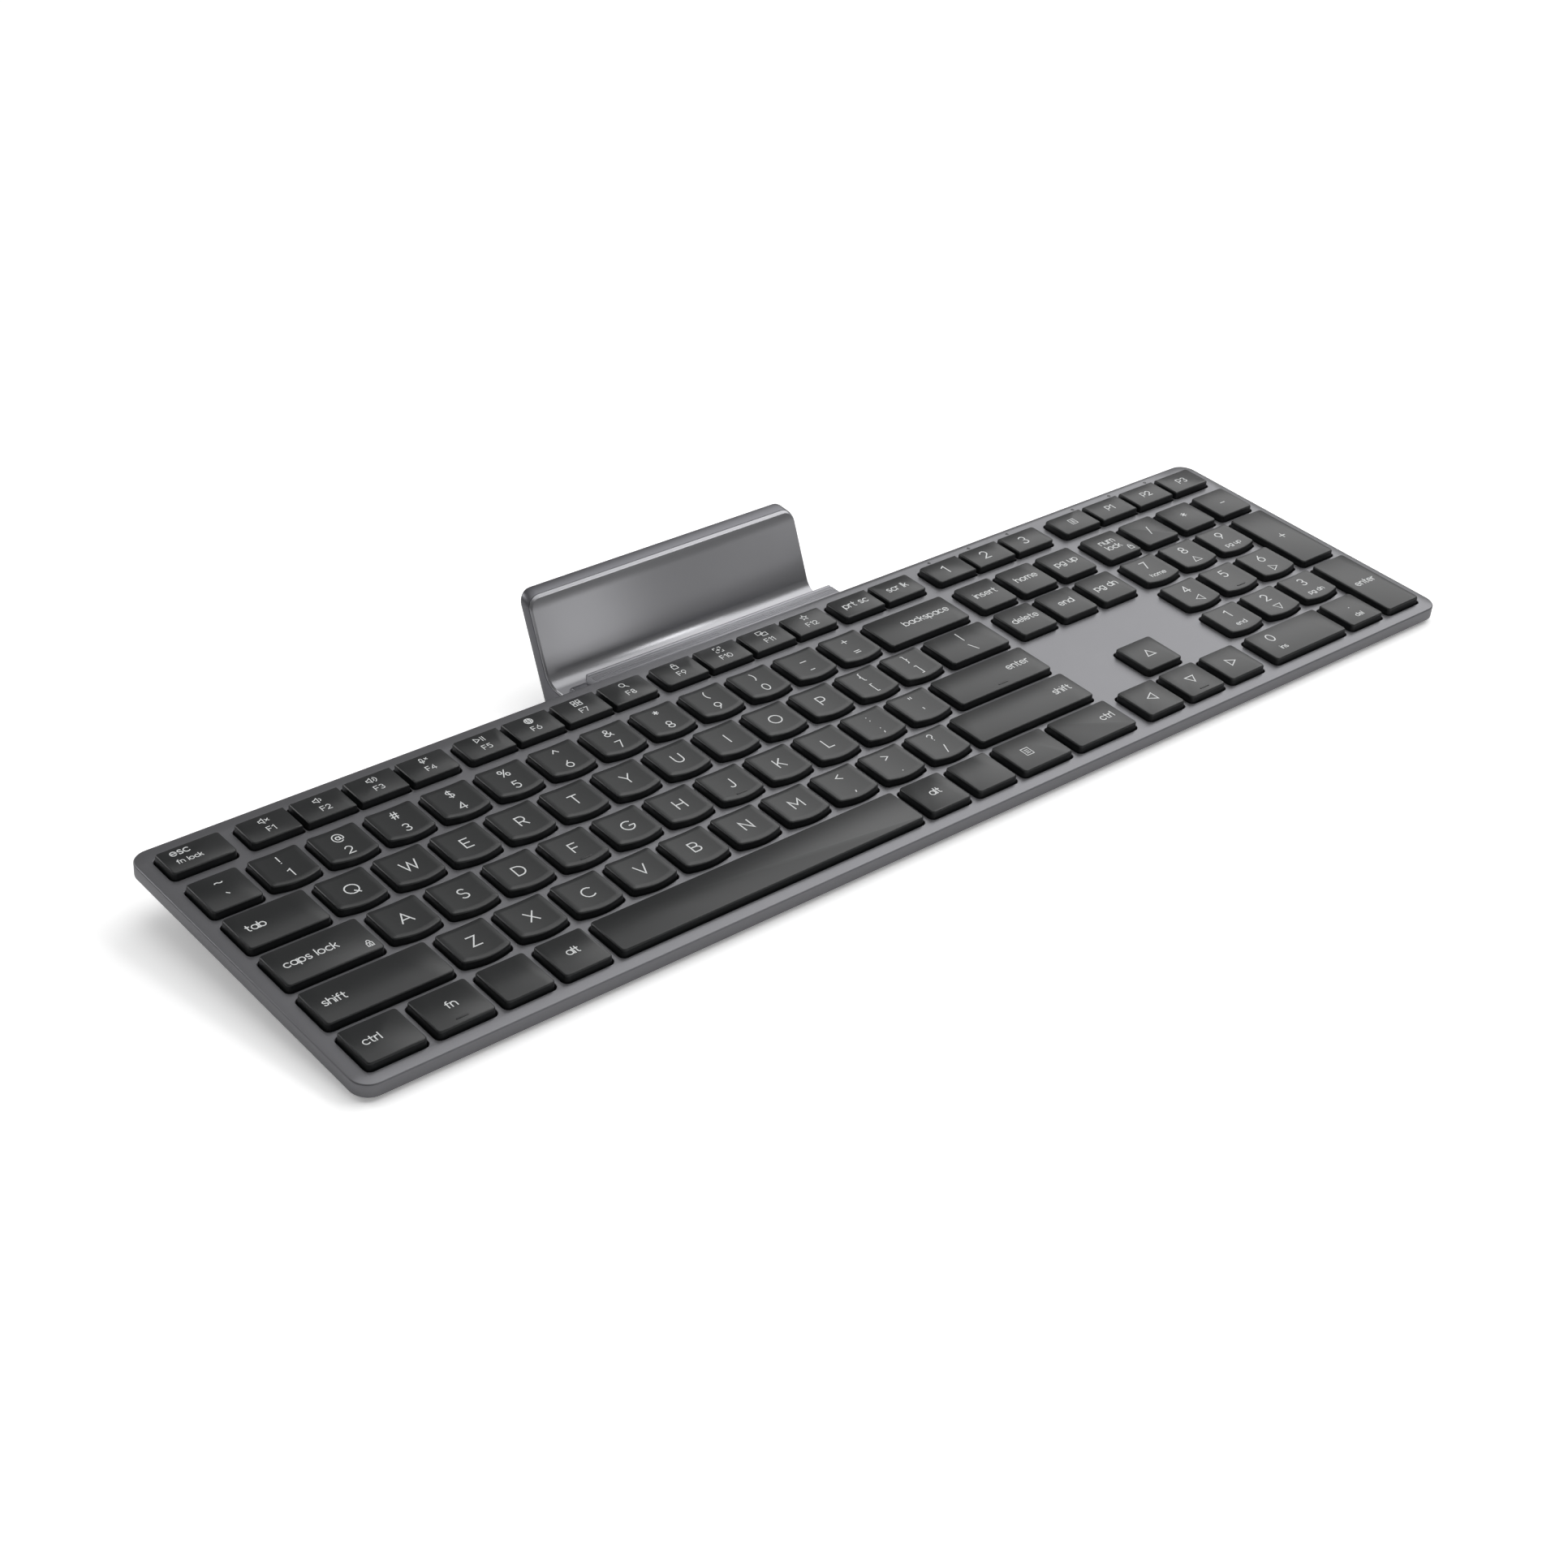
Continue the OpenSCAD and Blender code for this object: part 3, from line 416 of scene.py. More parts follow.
def sheet_between(bm, loops, up):
    """Fills the region between an outer loop and the holes in it with flat triangles."""
    edges = []
    for loop in loops:
        for i, vert in enumerate(loop):
            pair = (vert, loop[(i + 1) % len(loop)])
            edges.append(bm.edges.get(pair) or bm.edges.new(pair))
    made = bmesh.ops.triangle_fill(bm, use_beauty=True, use_dissolve=False, edges=edges)
    faces = [g for g in made["geom"] if isinstance(g, bmesh.types.BMFace)]
    for face in faces:
        face.normal_update()
        if (face.normal.z > 0) != up:
            face.normal_flip()


LEAST_RADIUS = 0.05


def rounded_outline(low, high, radius, grow=0.0, steps=6):
    """Rounded rectangle, counter-clockwise, grown outwards by grow."""
    r = max(radius + grow, LEAST_RADIUS)
    u0, v0, u1, v1 = low.x - grow, low.y - grow, high.x + grow, high.y + grow
    return (arc(u0 + r, v0 + r, r, 180, 270, steps) + arc(u1 - r, v0 + r, r, 270, 360, steps)
            + arc(u1 - r, v1 - r, r, 0, 90, steps) + arc(u0 + r, v1 - r, r, 90, 180, steps))


# ---------------------------------------------------------------- key caps

# A cap's corners, how far its front bows, and the radii of its left and right corners
Cap = namedtuple("Cap", "low high bow left right")
CAP_CORNER = 1.3
INNER_CORNER = 0.45
LEAST_CAP_RADIUS = 0.1
LEAST_BOW = 0.3
# Points this near a cap's left side tell how far its corner stands back
SIDE_BAND = 0.05
# Nodes whose keys stand side by side as one block: only the block's ends are rounded
BLOCKS = {"keys_f1_f4", "keys_f5_f8", "keys_f9_f12", "keys_print_scroll", "keys_devices",
          "keys_macro"}
CAP_WALL = 1.0
# How much the wall thickens to the ceiling, as in a mould
CAP_DRAFT = 0.1
CAP_DISH = 0.32
# Divisions of a cap's straight or bowed edge and of its corners, and the rings of its dished top
EDGE_POINTS = 8
CORNER_STEPS = 4
DISH_RINGS = (0.8, 0.6, 0.4, 0.22, 0.1)
# The cap's side and shoulder: how far in from the outline, and how far below the top
CAP_SHOULDER = [(0.12, 0.62), (0.16, 0.35), (0.2, 0.29), (0.44, 0.04), (0.54, 0.0)]


def read_caps(node):
    """The caps of a key node. A bowed front is known by its corners, which stand back."""
    caps = []
    found = solids(node)
    inner = INNER_CORNER if node in BLOCKS else CAP_CORNER
    for i, (low, high, points) in enumerate(found):
        bow = min(p.y for p in points if p.x < low.x + SIDE_BAND) - low.y - CAP_CORNER
        caps.append(Cap(low, high, bow if bow > LEAST_BOW else 0.0, inner if i else CAP_CORNER,
                        inner if i < len(found) - 1 else CAP_CORNER))
    return caps


def cap_outline(cap, grow):
    """The cap's outline, counter-clockwise from its front left corner, grown by grow."""
    a = max(cap.left + grow, LEAST_CAP_RADIUS)
    b = max(cap.right + grow, LEAST_CAP_RADIUS)
    u0, v0 = cap.low.x - grow, cap.low.y - grow
    u1, v1 = cap.high.x + grow, cap.high.y + grow
    inner = u1 - u0 - a - b
    shares = [i / EDGE_POINTS for i in range(1, EDGE_POINTS)]
    front = [(u0 + a + inner * t, v0 + cap.bow * (2 * t - 1) ** 2) for t in shares]
    rear = [(u1 - b - inner * t, v1) for t in shares]
    return (arc(u0 + a, v0 + cap.bow + a, a, 180, 270, CORNER_STEPS) + front
            + arc(u1 - b, v0 + cap.bow + b, b, 270, 360, CORNER_STEPS)
            + arc(u1 - b, v1 - b, b, 0, 90, CORNER_STEPS) + rear
            + arc(u0 + a, v1 - a, a, 90, 180, CORNER_STEPS))


def cap_middle(cap):
    return (cap.low.x + cap.high.x) / 2, (cap.low.y + cap.high.y) / 2


def cap_surface(cap):
    """Height of the cap's top at (u, v): bowed caps are dished from side to side."""
    middle = cap_middle(cap)[0]
    half = (cap.high.x - cap.low.x) / 2
    depth = CAP_DISH if cap.bow else 0.0
    return lambda u, v: cap.high.z - depth * max(0.0, 1 - ((u - middle) / half) ** 2)


def build_cap(bm, cap):
    """A hollow cap: skirt, rounded shoulder, dished or flat top, and the inside."""
    top = cap_surface(cap)
    rings = [ring(bm, cap_outline(cap, 0), cap.low.z)]
    for inset, drop in CAP_SHOULDER:
        rings.append(ring(bm, cap_outline(cap, -inset), lambda u, v: top(u, v) - drop))
    stack(bm, rings)
    mid_u, mid_v = cap_middle(cap)
    last = rings[-1]
    if cap.bow:
        edge = [(v.co.x, v.co.y) for v in last]
        for share in DISH_RINGS:
            shrunk = [(mid_u + (u - mid_u) * share, mid_v + (v - mid_v) * share)
                      for u, v in edge]
            inner = ring(bm, shrunk, top)
            bridge(bm, last, inner)
            last = inner
    bm.faces.new(last)
    foot = ring(bm, cap_outline(cap, -CAP_WALL), cap.low.z)
    ceiling = ring(bm, cap_outline(cap, -CAP_WALL - CAP_DRAFT), cap.high.z - CAP_WALL)
    bridge(bm, foot, rings[0])
    bridge(bm, ceiling, foot)
    bm.faces.new(list(reversed(ceiling)))


# Length, width and height of a touch bar, how deep it is set in, and its rounded side: how far
# it has grown and the share of the height
TOUCH_BAR = (4.0, 0.5, 0.22)
BAR_SINK = 0.03
BAR_SIDE = [(0.0, 0.0), (0.0, 0.5), (-0.08, 0.85), (-0.18, 1.0)]


def build_touch_bar(bm, cap, u, v):
    """The small raised bar that a finger finds, with a rounded top."""
    length, width, height = TOUCH_BAR
    base = cap_surface(cap)(u, v) - BAR_SINK
    low = Vector((u - length / 2, v - width / 2, 0))
    high = Vector((u + length / 2, v + width / 2, 0))
    rings = [ring(bm, rounded_outline(low, high, width / 2 - 0.01, grow, 4),
                  base + height * share)
             for grow, share in BAR_SIDE]
    stack(bm, rings)
    bm.faces.new(rings[-1])
    bm.faces.new(list(reversed(rings[0])))


KEY_NODES = [n for n in nodes if n.startswith(("key_", "keys_", "pad_"))]
CAPS = {node: read_caps(node) for node in KEY_NODES}
# Bars: node, number of the cap, and the bar's place from the cap's middle
TOUCH_BARS = {"keys_home_letters": [(3, 0, -5.5), (6, 0, -5.5)],
              "key_enter": [(0, 0, -5.6)], "pad_5": [(0, 0, -5.5)],
              "keys_arrows": [(1, 0, -5.5)], "keys_left_modifiers": [(1, -0.4, -5.6)]}

for node, caps in CAPS.items():
    bm = bmesh.new()
    for cap in caps:
        build_cap(bm, cap)
    for index, shift_u, shift_v in TOUCH_BARS.get(node, []):
        u, v = cap_middle(caps[index])
        build_touch_bar(bm, caps[index], u + shift_u, v + shift_v)
    make_piece(node + "_caps", bm, node, [CAP_PLASTIC], [node])

# ---------------------------------------------------------------- key legends

# Letters and signs are drawn with one round-ended stroke, 1 high from the baseline to the top of
# a capital. Each is its width and its strokes; a stroke mixes points with arcs (middle, radii,
# first and last angle in degrees).
BOWL = (0.35, 0.35, 0.35, 0.35, 0, 360)
GLYPHS = {
    "A": (0.92, [[(0, 0), (0.46, 1), (0.92, 0)], [(0.16, 0.33), (0.76, 0.33)]]),
    "B": (0.69, [[(0, 0.51), (0, 1), (0.38, 1), (0.38, 0.755, 0.26, 0.245, 90, -90), (0, 0.51)],
                 [(0.38, 0.51), (0.40, 0.255, 0.29, 0.255, 90, -90), (0, 0), (0, 0.51)]]),
    "C": (0.86, [[(0.5, 0.5, 0.5, 0.5, 48, 312)]]),
    "D": (0.8, [[(0, 0), (0, 1), (0.3, 1), (0.3, 0.5, 0.5, 0.5, 90, -90), (0, 0)]]),
    "E": (0.6, [[(0.6, 1), (0, 1), (0, 0), (0.6, 0)], [(0, 0.52), (0.54, 0.52)]]),
    "F": (0.58, [[(0.58, 1), (0, 1), (0, 0)], [(0, 0.5), (0.52, 0.5)]]),
    "G": (0.98, [[(0.5, 0.5, 0.5, 0.5, 50, 355), (0.98, 0.47), (0.58, 0.47)]]),
    "H": (0.74, [[(0, 0), (0, 1)], [(0.74, 0), (0.74, 1)], [(0, 0.52), (0.74, 0.52)]]),
    "I": (0.0, [[(0, 0), (0, 1)]]),
    "J": (0.45, [[(0.45, 1), (0.45, 0.28), (0.22, 0.26, 0.23, 0.26, 0, -150)]]),
    "K": (0.66, [[(0, 0), (0, 1)], [(0.62, 1), (0, 0.36)], [(0.22, 0.58), (0.66, 0)]]),
    "L": (0.54, [[(0, 1), (0, 0), (0.54, 0)]]),
    "M": (0.9, [[(0, 0), (0, 1), (0.45, 0.35), (0.9, 1), (0.9, 0)]]),
    "N": (0.76, [[(0, 0), (0, 1), (0.76, 0), (0.76, 1)]]),
    "O": (1.04, [[(0.52, 0.5, 0.52, 0.5, 90, 450)]]),
    "P": (0.66, [[(0, 0), (0, 1), (0.36, 1), (0.36, 0.7, 0.3, 0.3, 90, -90), (0, 0.4)]]),
    "Q": (1.04, [[(0.52, 0.5, 0.52, 0.5, 90, 450)], [(0.6, 0.28), (0.94, -0.06)]]),
    "R": (0.66, [[(0, 0), (0, 1), (0.36, 1), (0.36, 0.71, 0.29, 0.29, 90, -90), (0, 0.42)],
                 [(0.36, 0.42), (0.66, 0)]]),
    "S": (0.62, [[(0.32, 0.75, 0.27, 0.25, 30, 270), (0.32, 0.25, 0.30, 0.25, 90, -150)]]),
    "T": (0.74, [[(0, 1), (0.74, 1)], [(0.37, 1), (0.37, 0)]]),
    "U": (0.72, [[(0, 1), (0, 0.36), (0.36, 0.36, 0.36, 0.36, 180, 360), (0.72, 1)]]),
    "V": (0.86, [[(0, 1), (0.43, 0), (0.86, 1)]]),
    "W": (1.24, [[(0, 1), (0.32, 0), (0.62, 0.95), (0.92, 0), (1.24, 1)]]),
    "X": (0.74, [[(0, 1), (0.74, 0)], [(0.74, 1), (0, 0)]]),
    "Y": (0.78, [[(0, 1), (0.39, 0.45), (0.78, 1)], [(0.39, 0.45), (0.39, 0)]]),
    "Z": (0.7, [[(0.02, 1), (0.68, 1), (0, 0), (0.7, 0)]]),
    "0": (0.72, [[(0.36, 0.5, 0.36, 0.5, 90, 450)]]),
    "1": (0.3, [[(0, 0.82), (0.3, 1), (0.3, 0)]]),
    "2": (0.66, [[(0.33, 0.69, 0.31, 0.31, 165, -35), (0, 0), (0.66, 0)]]),
    "3": (0.61, [[(0.31, 0.74, 0.27, 0.26, 150, -90), (0.30, 0.25, 0.31, 0.25, 90, -150)]]),
    "4": (0.7, [[(0.5, 0), (0.5, 1), (0, 0.27), (0.7, 0.27)]]),
    "5": (0.63, [[(0.6, 1), (0.12, 1), (0.06, 0.56), (0.3, 0.33, 0.33, 0.33, 135, -145)]]),
    "6": (0.7, [[(0.5, 1), (0.09, 0.51), (0.36, 0.33, 0.34, 0.33, 150, 510)]]),
    "7": (0.62, [[(0, 1), (0.62, 1), (0.2, 0)]]),
    "8": (0.66, [[(0.34, 0.74, 0.26, 0.26, 90, 450)], [(0.34, 0.24, 0.32, 0.24, 90, 450)]]),
    "9": (0.68, [[(0.2, 0), (0.6, 0.5), (0.34, 0.67, 0.34, 0.33, -30, 330)]]),
    "a": (0.68, [[BOWL], [(0.7, 0.7), (0.7, 0)]]),
    "b": (0.7, [[BOWL], [(0, 1), (0, 0)]]),
    "c": (0.6, [[(0.35, 0.35, 0.35, 0.35, 45, 315)]]),
    "d": (0.7, [[BOWL], [(0.7, 1), (0.7, 0)]]),
    "e": (0.69, [[(0.02, 0.36), (0.68, 0.36), (0.35, 0.35, 0.34, 0.35, 0, 320)]]),
    "f": (0.38, [[(0.36, 0.78, 0.2, 0.2, 80, 180), (0.16, 0)], [(0, 0.66), (0.38, 0.66)]]),
    "g": (0.7, [[BOWL], [(0.7, 0.7), (0.7, 0), (0.36, 0, 0.34, 0.28, 0, -150)]]),
    "h": (0.58, [[(0, 1), (0, 0)], [(0, 0.38), (0.29, 0.4, 0.29, 0.3, 180, 0), (0.58, 0)]]),
    "i": (0.0, [[(0, 0.7), (0, 0)], [(0, 0.93), (0, 0.97)]]),
    "k": (0.52, [[(0, 1), (0, 0)], [(0.48, 0.7), (0, 0.27)], [(0.2, 0.44), (0.52, 0)]]),
    "l": (0.0, [[(0, 1), (0, 0)]]),
    "m": (0.96, [[(0, 0.7), (0, 0)], [(0, 0.42), (0.24, 0.44, 0.24, 0.26, 180, 0), (0.48, 0)],
                 [(0.48, 0.42), (0.72, 0.44, 0.24, 0.26, 180, 0), (0.96, 0)]]),
    "n": (0.58, [[(0, 0.7), (0, 0)], [(0, 0.38), (0.29, 0.4, 0.29, 0.3, 180, 0), (0.58, 0)]]),
    "o": (0.7, [[BOWL]]),
    "p": (0.7, [[BOWL], [(0, 0.7), (0, -0.28)]]),
    "r": (0.36, [[(0, 0.7), (0, 0)], [(0, 0.4), (0.28, 0.42, 0.28, 0.27, 180, 75)]]),
    "s": (0.48, [[(0.25, 0.525, 0.22, 0.175, 35, 270),
                  (0.25, 0.175, 0.24, 0.175, 90, -150)]]),
    "t": (0.4, [[(0.16, 0.95), (0.16, 0.18), (0.34, 0.18, 0.18, 0.18, 180, 280)],
                [(0, 0.66), (0.4, 0.66)]]),
    "u": (0.56, [[(0, 0.7), (0, 0.28), (0.28, 0.28, 0.28, 0.28, 180, 360), (0.56, 0.7)],
                 [(0.56, 0.28), (0.56, 0)]]),
    "v": (0.6, [[(0, 0.7), (0.3, 0), (0.6, 0.7)]]),
    "x": (0.56, [[(0, 0.7), (0.56, 0)], [(0.56, 0.7), (0, 0)]]),
    " ": (0.3, []),
    "~": (0.7, [[(0.18, 0.47, 0.18, 0.1, 180, 20), (0.53, 0.53, 0.18, 0.1, 200, 360)]]),
    "`": (0.2, [[(0, 1), (0.2, 0.78)]]),
    "!": (0.0, [[(0, 1), (0, 0.28)], [(0, 0.02), (0, 0.05)]]),
    "@": (1.0, [[(0.5, 0.4, 0.2, 0.22, 0, 360)], [(0.7, 0.62), (0.7, 0.3),
                (0.85, 0.32, 0.15, 0.14, 200, 360), (0.5, 0.42, 0.5, 0.56, 5, 305)]]),
    "#": (0.76, [[(0.3, 1), (0.18, 0)], [(0.62, 1), (0.5, 0)], [(0.06, 0.68), (0.76, 0.68)],
                 [(0, 0.32), (0.7, 0.32)]]),
    "$": (0.62, [[(0.32, 0.72, 0.27, 0.22, 30, 270), (0.32, 0.28, 0.30, 0.22, 90, -150)],
                 [(0.32, 1.08), (0.32, -0.08)]]),
    "%": (0.96, [[(0.2, 0.76, 0.19, 0.22, 0, 360)], [(0.76, 0.24, 0.19, 0.22, 0, 360)],
                 [(0.78, 1), (0.18, 0)]]),
    "^": (0.6, [[(0, 0.55), (0.3, 1), (0.6, 0.55)]]),
    "&": (0.84, [[(0.84, 0), (0.24, 0.66), (0.36, 0.8, 0.19, 0.2, 200, -50), (0.2, 0.44),
                 (0.28, 0.25, 0.28, 0.25, 130, 290), (0.66, 0.25), (0.76, 0.5)]]),
    "*": (0.5, [[(0.25, 1), (0.25, 0.46)], [(0.02, 0.87), (0.48, 0.59)],
                [(0.48, 0.87), (0.02, 0.59)]]),
    "(": (0.24, [[(0.5, 0.45, 0.5, 0.68, 125, 235)]]),
    ")": (0.24, [[(-0.26, 0.45, 0.5, 0.68, 55, -55)]]),
    "_": (0.7, [[(0, -0.1), (0.7, -0.1)]]),
    "-": (0.5, [[(0, 0.4), (0.5, 0.4)]]),
    "+": (0.62, [[(0, 0.45), (0.62, 0.45)], [(0.31, 0.76), (0.31, 0.14)]]),
    "=": (0.62, [[(0, 0.6), (0.62, 0.6)], [(0, 0.32), (0.62, 0.32)]]),
    "{": (0.3, [[(0.3, 1.08), (0.16, 1), (0.16, 0.56), (0, 0.46), (0.16, 0.36), (0.16, -0.1),
                 (0.3, -0.18)]]),
    "}": (0.3, [[(0, 1.08), (0.14, 1), (0.14, 0.56), (0.3, 0.46), (0.14, 0.36), (0.14, -0.1),
                 (0, -0.18)]]),
    "[": (0.24, [[(0.24, 1.08), (0, 1.08), (0, -0.18), (0.24, -0.18)]]),
    "]": (0.24, [[(0, 1.08), (0.24, 1.08), (0.24, -0.18), (0, -0.18)]]),
    "|": (0.0, [[(0, 1.15), (0, -0.2)]]),
    "\\": (0.44, [[(0, 1), (0.44, -0.1)]]),
    ":": (0.0, [[(0, 0.62), (0, 0.65)], [(0, 0.04), (0, 0.07)]]),
    ";": (0.1, [[(0.1, 0.62), (0.1, 0.65)], [(0.1, 0.06), (0, -0.16)]]),
    '"': (0.26, [[(0, 1), (0, 0.72)], [(0.26, 1), (0.26, 0.72)]]),
    "'": (0.0, [[(0, 1), (0, 0.72)]]),
    "<": (0.56, [[(0.56, 0.8), (0, 0.45), (0.56, 0.1)]]),
    ">": (0.56, [[(0, 0.8), (0.56, 0.45), (0, 0.1)]]),
    ",": (0.1, [[(0.1, 0.06), (0, -0.16)]]),
    ".": (0.0, [[(0, 0.02), (0, 0.05)]]),
    "/": (0.44, [[(0.44, 1), (0, -0.1)]]),
    "?": (0.52, [[(0.26, 0.75, 0.25, 0.25, 165, -60), (0.26, 0.42), (0.26, 0.28)],
                 [(0.26, 0.02), (0.26, 0.05)]]),
}
# Signs for what a key does, 1 high and about their middle
SPEAKER = [[(-0.62, 0.16), (-0.4, 0.16), (-0.08, 0.44), (-0.08, -0.44), (-0.4, -0.16),
            (-0.62, -0.16), (-0.62, 0.16)]]
PADLOCK = [[(-0.34, 0.08), (0.34, 0.08), (0.34, -0.5), (-0.34, -0.5), (-0.34, 0.08)],
           [(-0.2, 0.08), (0, 0.26, 0.2, 0.24, 180, 0), (0.2, 0.08)]]


def box_sign(u0, v0, u1, v1):
    return [(u0, v0), (u1, v0), (u1, v1), (u0, v1), (u0, v0)]


SIGNS = {
    "mute": SPEAKER + [[(0.16, 0.2), (0.56, -0.2)], [(0.56, 0.2), (0.16, -0.2)]],
    "quieter": SPEAKER + [[(0.0, 0, 0.28, 0.26, -58, 58)]],
    "louder": SPEAKER + [[(0.0, 0, 0.28, 0.26, -58, 58)], [(0.0, 0, 0.58, 0.5, -58, 58)]],
    "microphone": [[(-0.38, 0.3), (-0.22, 0.3, 0.16, 0.16, 180, 0), (-0.06, 0.02),
                    (-0.22, 0.02, 0.16, 0.16, 0, -180), (-0.38, 0.3)],
                   [(-0.22, 0.04, 0.32, 0.34, 200, 340)], [(-0.22, -0.3), (-0.22, -0.5)],
                   [(0.28, 0.36), (0.58, 0.06)], [(0.58, 0.36), (0.28, 0.06)]],
    "play": [[(-0.6, 0.4), (0.0, 0), (-0.6, -0.4), (-0.6, 0.4)], [(0.26, 0.4), (0.26, -0.4)],
             [(0.54, 0.4), (0.54, -0.4)]],
    "globe": [[(0, 0, 0.5, 0.5, 0, 360)], [(0, 0, 0.2, 0.5, 0, 360)], [(-0.5, 0), (0.5, 0)],
              [(-0.42, 0.26), (0.42, 0.26)], [(-0.42, -0.26), (0.42, -0.26)]],
    "squares": [box_sign(-0.55, 0.08, -0.12, 0.5), box_sign(0.12, 0.08, 0.55, 0.5),
                box_sign(-0.55, -0.5, -0.12, -0.08), box_sign(0.12, -0.5, 0.55, -0.08)],
    "magnifier": [[(-0.12, 0.12, 0.34, 0.34, 0, 360)], [(0.13, -0.13), (0.5, -0.5)]],
    "padlock": PADLOCK,
    "capital_lock": PADLOCK + [[(-0.14, -0.42), (0, -0.04), (0.14, -0.42)]],
    "new_square": [[(-0.5, 0.2), (-0.5, 0.5), (-0.2, 0.5)], [(0.2, 0.5), (0.5, 0.5), (0.5, 0.2)],
                   [(-0.5, -0.2), (-0.5, -0.5), (-0.2, -0.5)],
                   [(0.2, -0.5), (0.5, -0.5), (0.5, -0.2)], [(-0.22, 0), (0.22, 0)],
                   [(0, 0.22), (0, -0.22)]],
    "screens": [box_sign(-0.66, -0.1, 0.1, 0.5), box_sign(-0.14, -0.5, 0.62, 0.1)],
    "star": [[(0, 0.52), (0.13, 0.16), (0.5, 0.16), (0.21, -0.07), (0.32, -0.44), (0, -0.22),
              (-0.32, -0.44), (-0.21, -0.07), (-0.5, 0.16), (-0.13, 0.16), (0, 0.52)]],
    "list": [box_sign(-0.42, -0.5, 0.42, 0.5), [(-0.2, 0.22), (0.2, 0.22)], [(-0.2, 0), (0.2, 0)],
             [(-0.2, -0.22), (0.2, -0.22)]],
    "left": [[(0.42, 0.5), (-0.46, 0), (0.42, -0.5), (0.42, 0.5)]],
    "right": [[(-0.42, 0.5), (0.46, 0), (-0.42, -0.5), (-0.42, 0.5)]],
    "up": [[(-0.5, -0.42), (0, 0.46), (0.5, -0.42), (-0.5, -0.42)]],
    "down": [[(-0.5, 0.42), (0, -0.46), (0.5, 0.42), (-0.5, 0.42)]],
}
# Digits and signs, which stand as high as a capital
SINGLES = set("0123456789~`!@#$%^&*()_-+={}[]|\\:;\"'<>,./?")
# Widths of the ink's strokes
STROKE = 0.42
WORD_STROKE = 0.36
FINE_STROKE = 0.27
# Degrees of an arc's segment, and the longest straight one
ARC_STEP = 24
LONGEST_SEGMENT = 1.4
# Points nearer than this are one point, and a stroke whose ends are this near is closed
SAME_POINT = 0.02
SAME_END = 0.03
# The ink's top over the cap and its foot in it; each stroke of a legend stands LIFT_STEP higher
# than the one before, so that no two tops lie in one plane
INK_LIFT = 0.03
INK_DEPTH = 0.06
LIFT_STEP = 0.0006
# Heights: of a capital in letter keys, words, the keypad's digits and its small words, and of
# the other signs
LETTER = 4.1
WORD = 2.7
PAD_DIGIT = 3.7
PAD_WORD = 1.9
SIGN_HEIGHT = 3.3
# Gaps between the letters of a word, the second in words no higher than SMALL
LETTER_GAP = 0.5
SMALL_GAP = 0.375
SMALL = 2.0
# Half the height of a lower-case letter, as a share of a capital's
LOWER_MIDDLE = 0.35


def stroke_points(stroke, height, u, v):
    """A stroke's points in millimetres, with its arcs and long straights divided."""
    points = []
    for item in stroke:
        if len(item) == 2:
            points.append(Vector(item))
            continue
        cu, cv, ru, rv, start, end = item
        count = max(2, round(abs(end - start) / ARC_STEP))
        for a in spread(math.radians(start), math.radians(end), count + 1):
            points.append(Vector((cu + ru * math.cos(a), cv + rv * math.sin(a))))
    path = []
    for point in points:
        place = Vector((u, v)) + height * point
        if path and (place - path[-1]).length < SAME_POINT:
            continue
        if path:
            start = path[-1]
            parts = math.ceil((place - start).length / LONGEST_SEGMENT)
            path += [start.lerp(place, i / parts) for i in range(1, parts)]
        path.append(place)
    return path


def ink_stroke(bm, path, width, lift, top):
    """A thin raised ribbon of ink along the path, lying on the surface top(u, v)."""
    closed = (path[0] - path[-1]).length < SAME_END and len(path) > 3
    if closed:
        path = path[:-1]
    count = len(path)
    sections = []
    for i, point in enumerate(path):
        before = path[i - 1] if i or closed else None
        after = path[(i + 1) % count] if i < count - 1 or closed else None
        into = (point - before).normalized() if before else (after - point).normalized()
        out = (after - point).normalized() if after else into
        along = (into + out).normalized() if (into + out).length > 0.1 else into
        across = Vector((-along.y, along.x))
        reach = width / 2 / max(0.5, across.dot(Vector((-into.y, into.x))))
        if not closed and i in (0, count - 1):
            point = point + along * (width / 3 if i else -width / 3)
        left, right = point + across * reach, point - across * reach
        sections.append([bm.verts.new((p.x, p.y, top(p.x, p.y) + h))
                         for p, h in ((left, lift), (right, lift), (right, -INK_DEPTH),
                                      (left, -INK_DEPTH))])
    pairs = list(zip(sections, sections[1:])) + ([(sections[-1], sections[0])] if closed else [])
    for a, b in pairs:
        bridge(bm, a, b)
    if not closed:
        bm.faces.new(sections[0][::-1])
        bm.faces.new(sections[-1])


def draw(bm, text, height, u, v, top, align, width):
    """Draws a word, or a sign when text names one, at (u, v): align is 0 when u is its left end,
    1 when it is its right end and 0.5 when it is its middle."""
    if text in SIGNS:
        strokes = [(s, u, v) for s in SIGNS[text]]
    else:
        gap = LETTER_GAP if height > SMALL else SMALL_GAP
        length = sum(GLYPHS[c][0] * height + gap for c in text) - gap
        start = u - align * length
        tall = text[0].isupper() or text[0] in SINGLES
        base = v - height * (0.5 if tall else LOWER_MIDDLE)
        strokes = []
        for c in text:
            strokes += [(s, start, base) for s in GLYPHS[c][1]]
            start += GLYPHS[c][0] * height + gap
    for i, (stroke, at_u, at_v) in enumerate(strokes):
        path = stroke_points(stroke, height, at_u, at_v)
        ink_stroke(bm, path, width, INK_LIFT + i * LIFT_STEP, top)


# A mark is its text, height, place (u, v) from the middle of the cap or from one side,
# alignment, width of stroke, and that side. A key's legend is a list of marks.


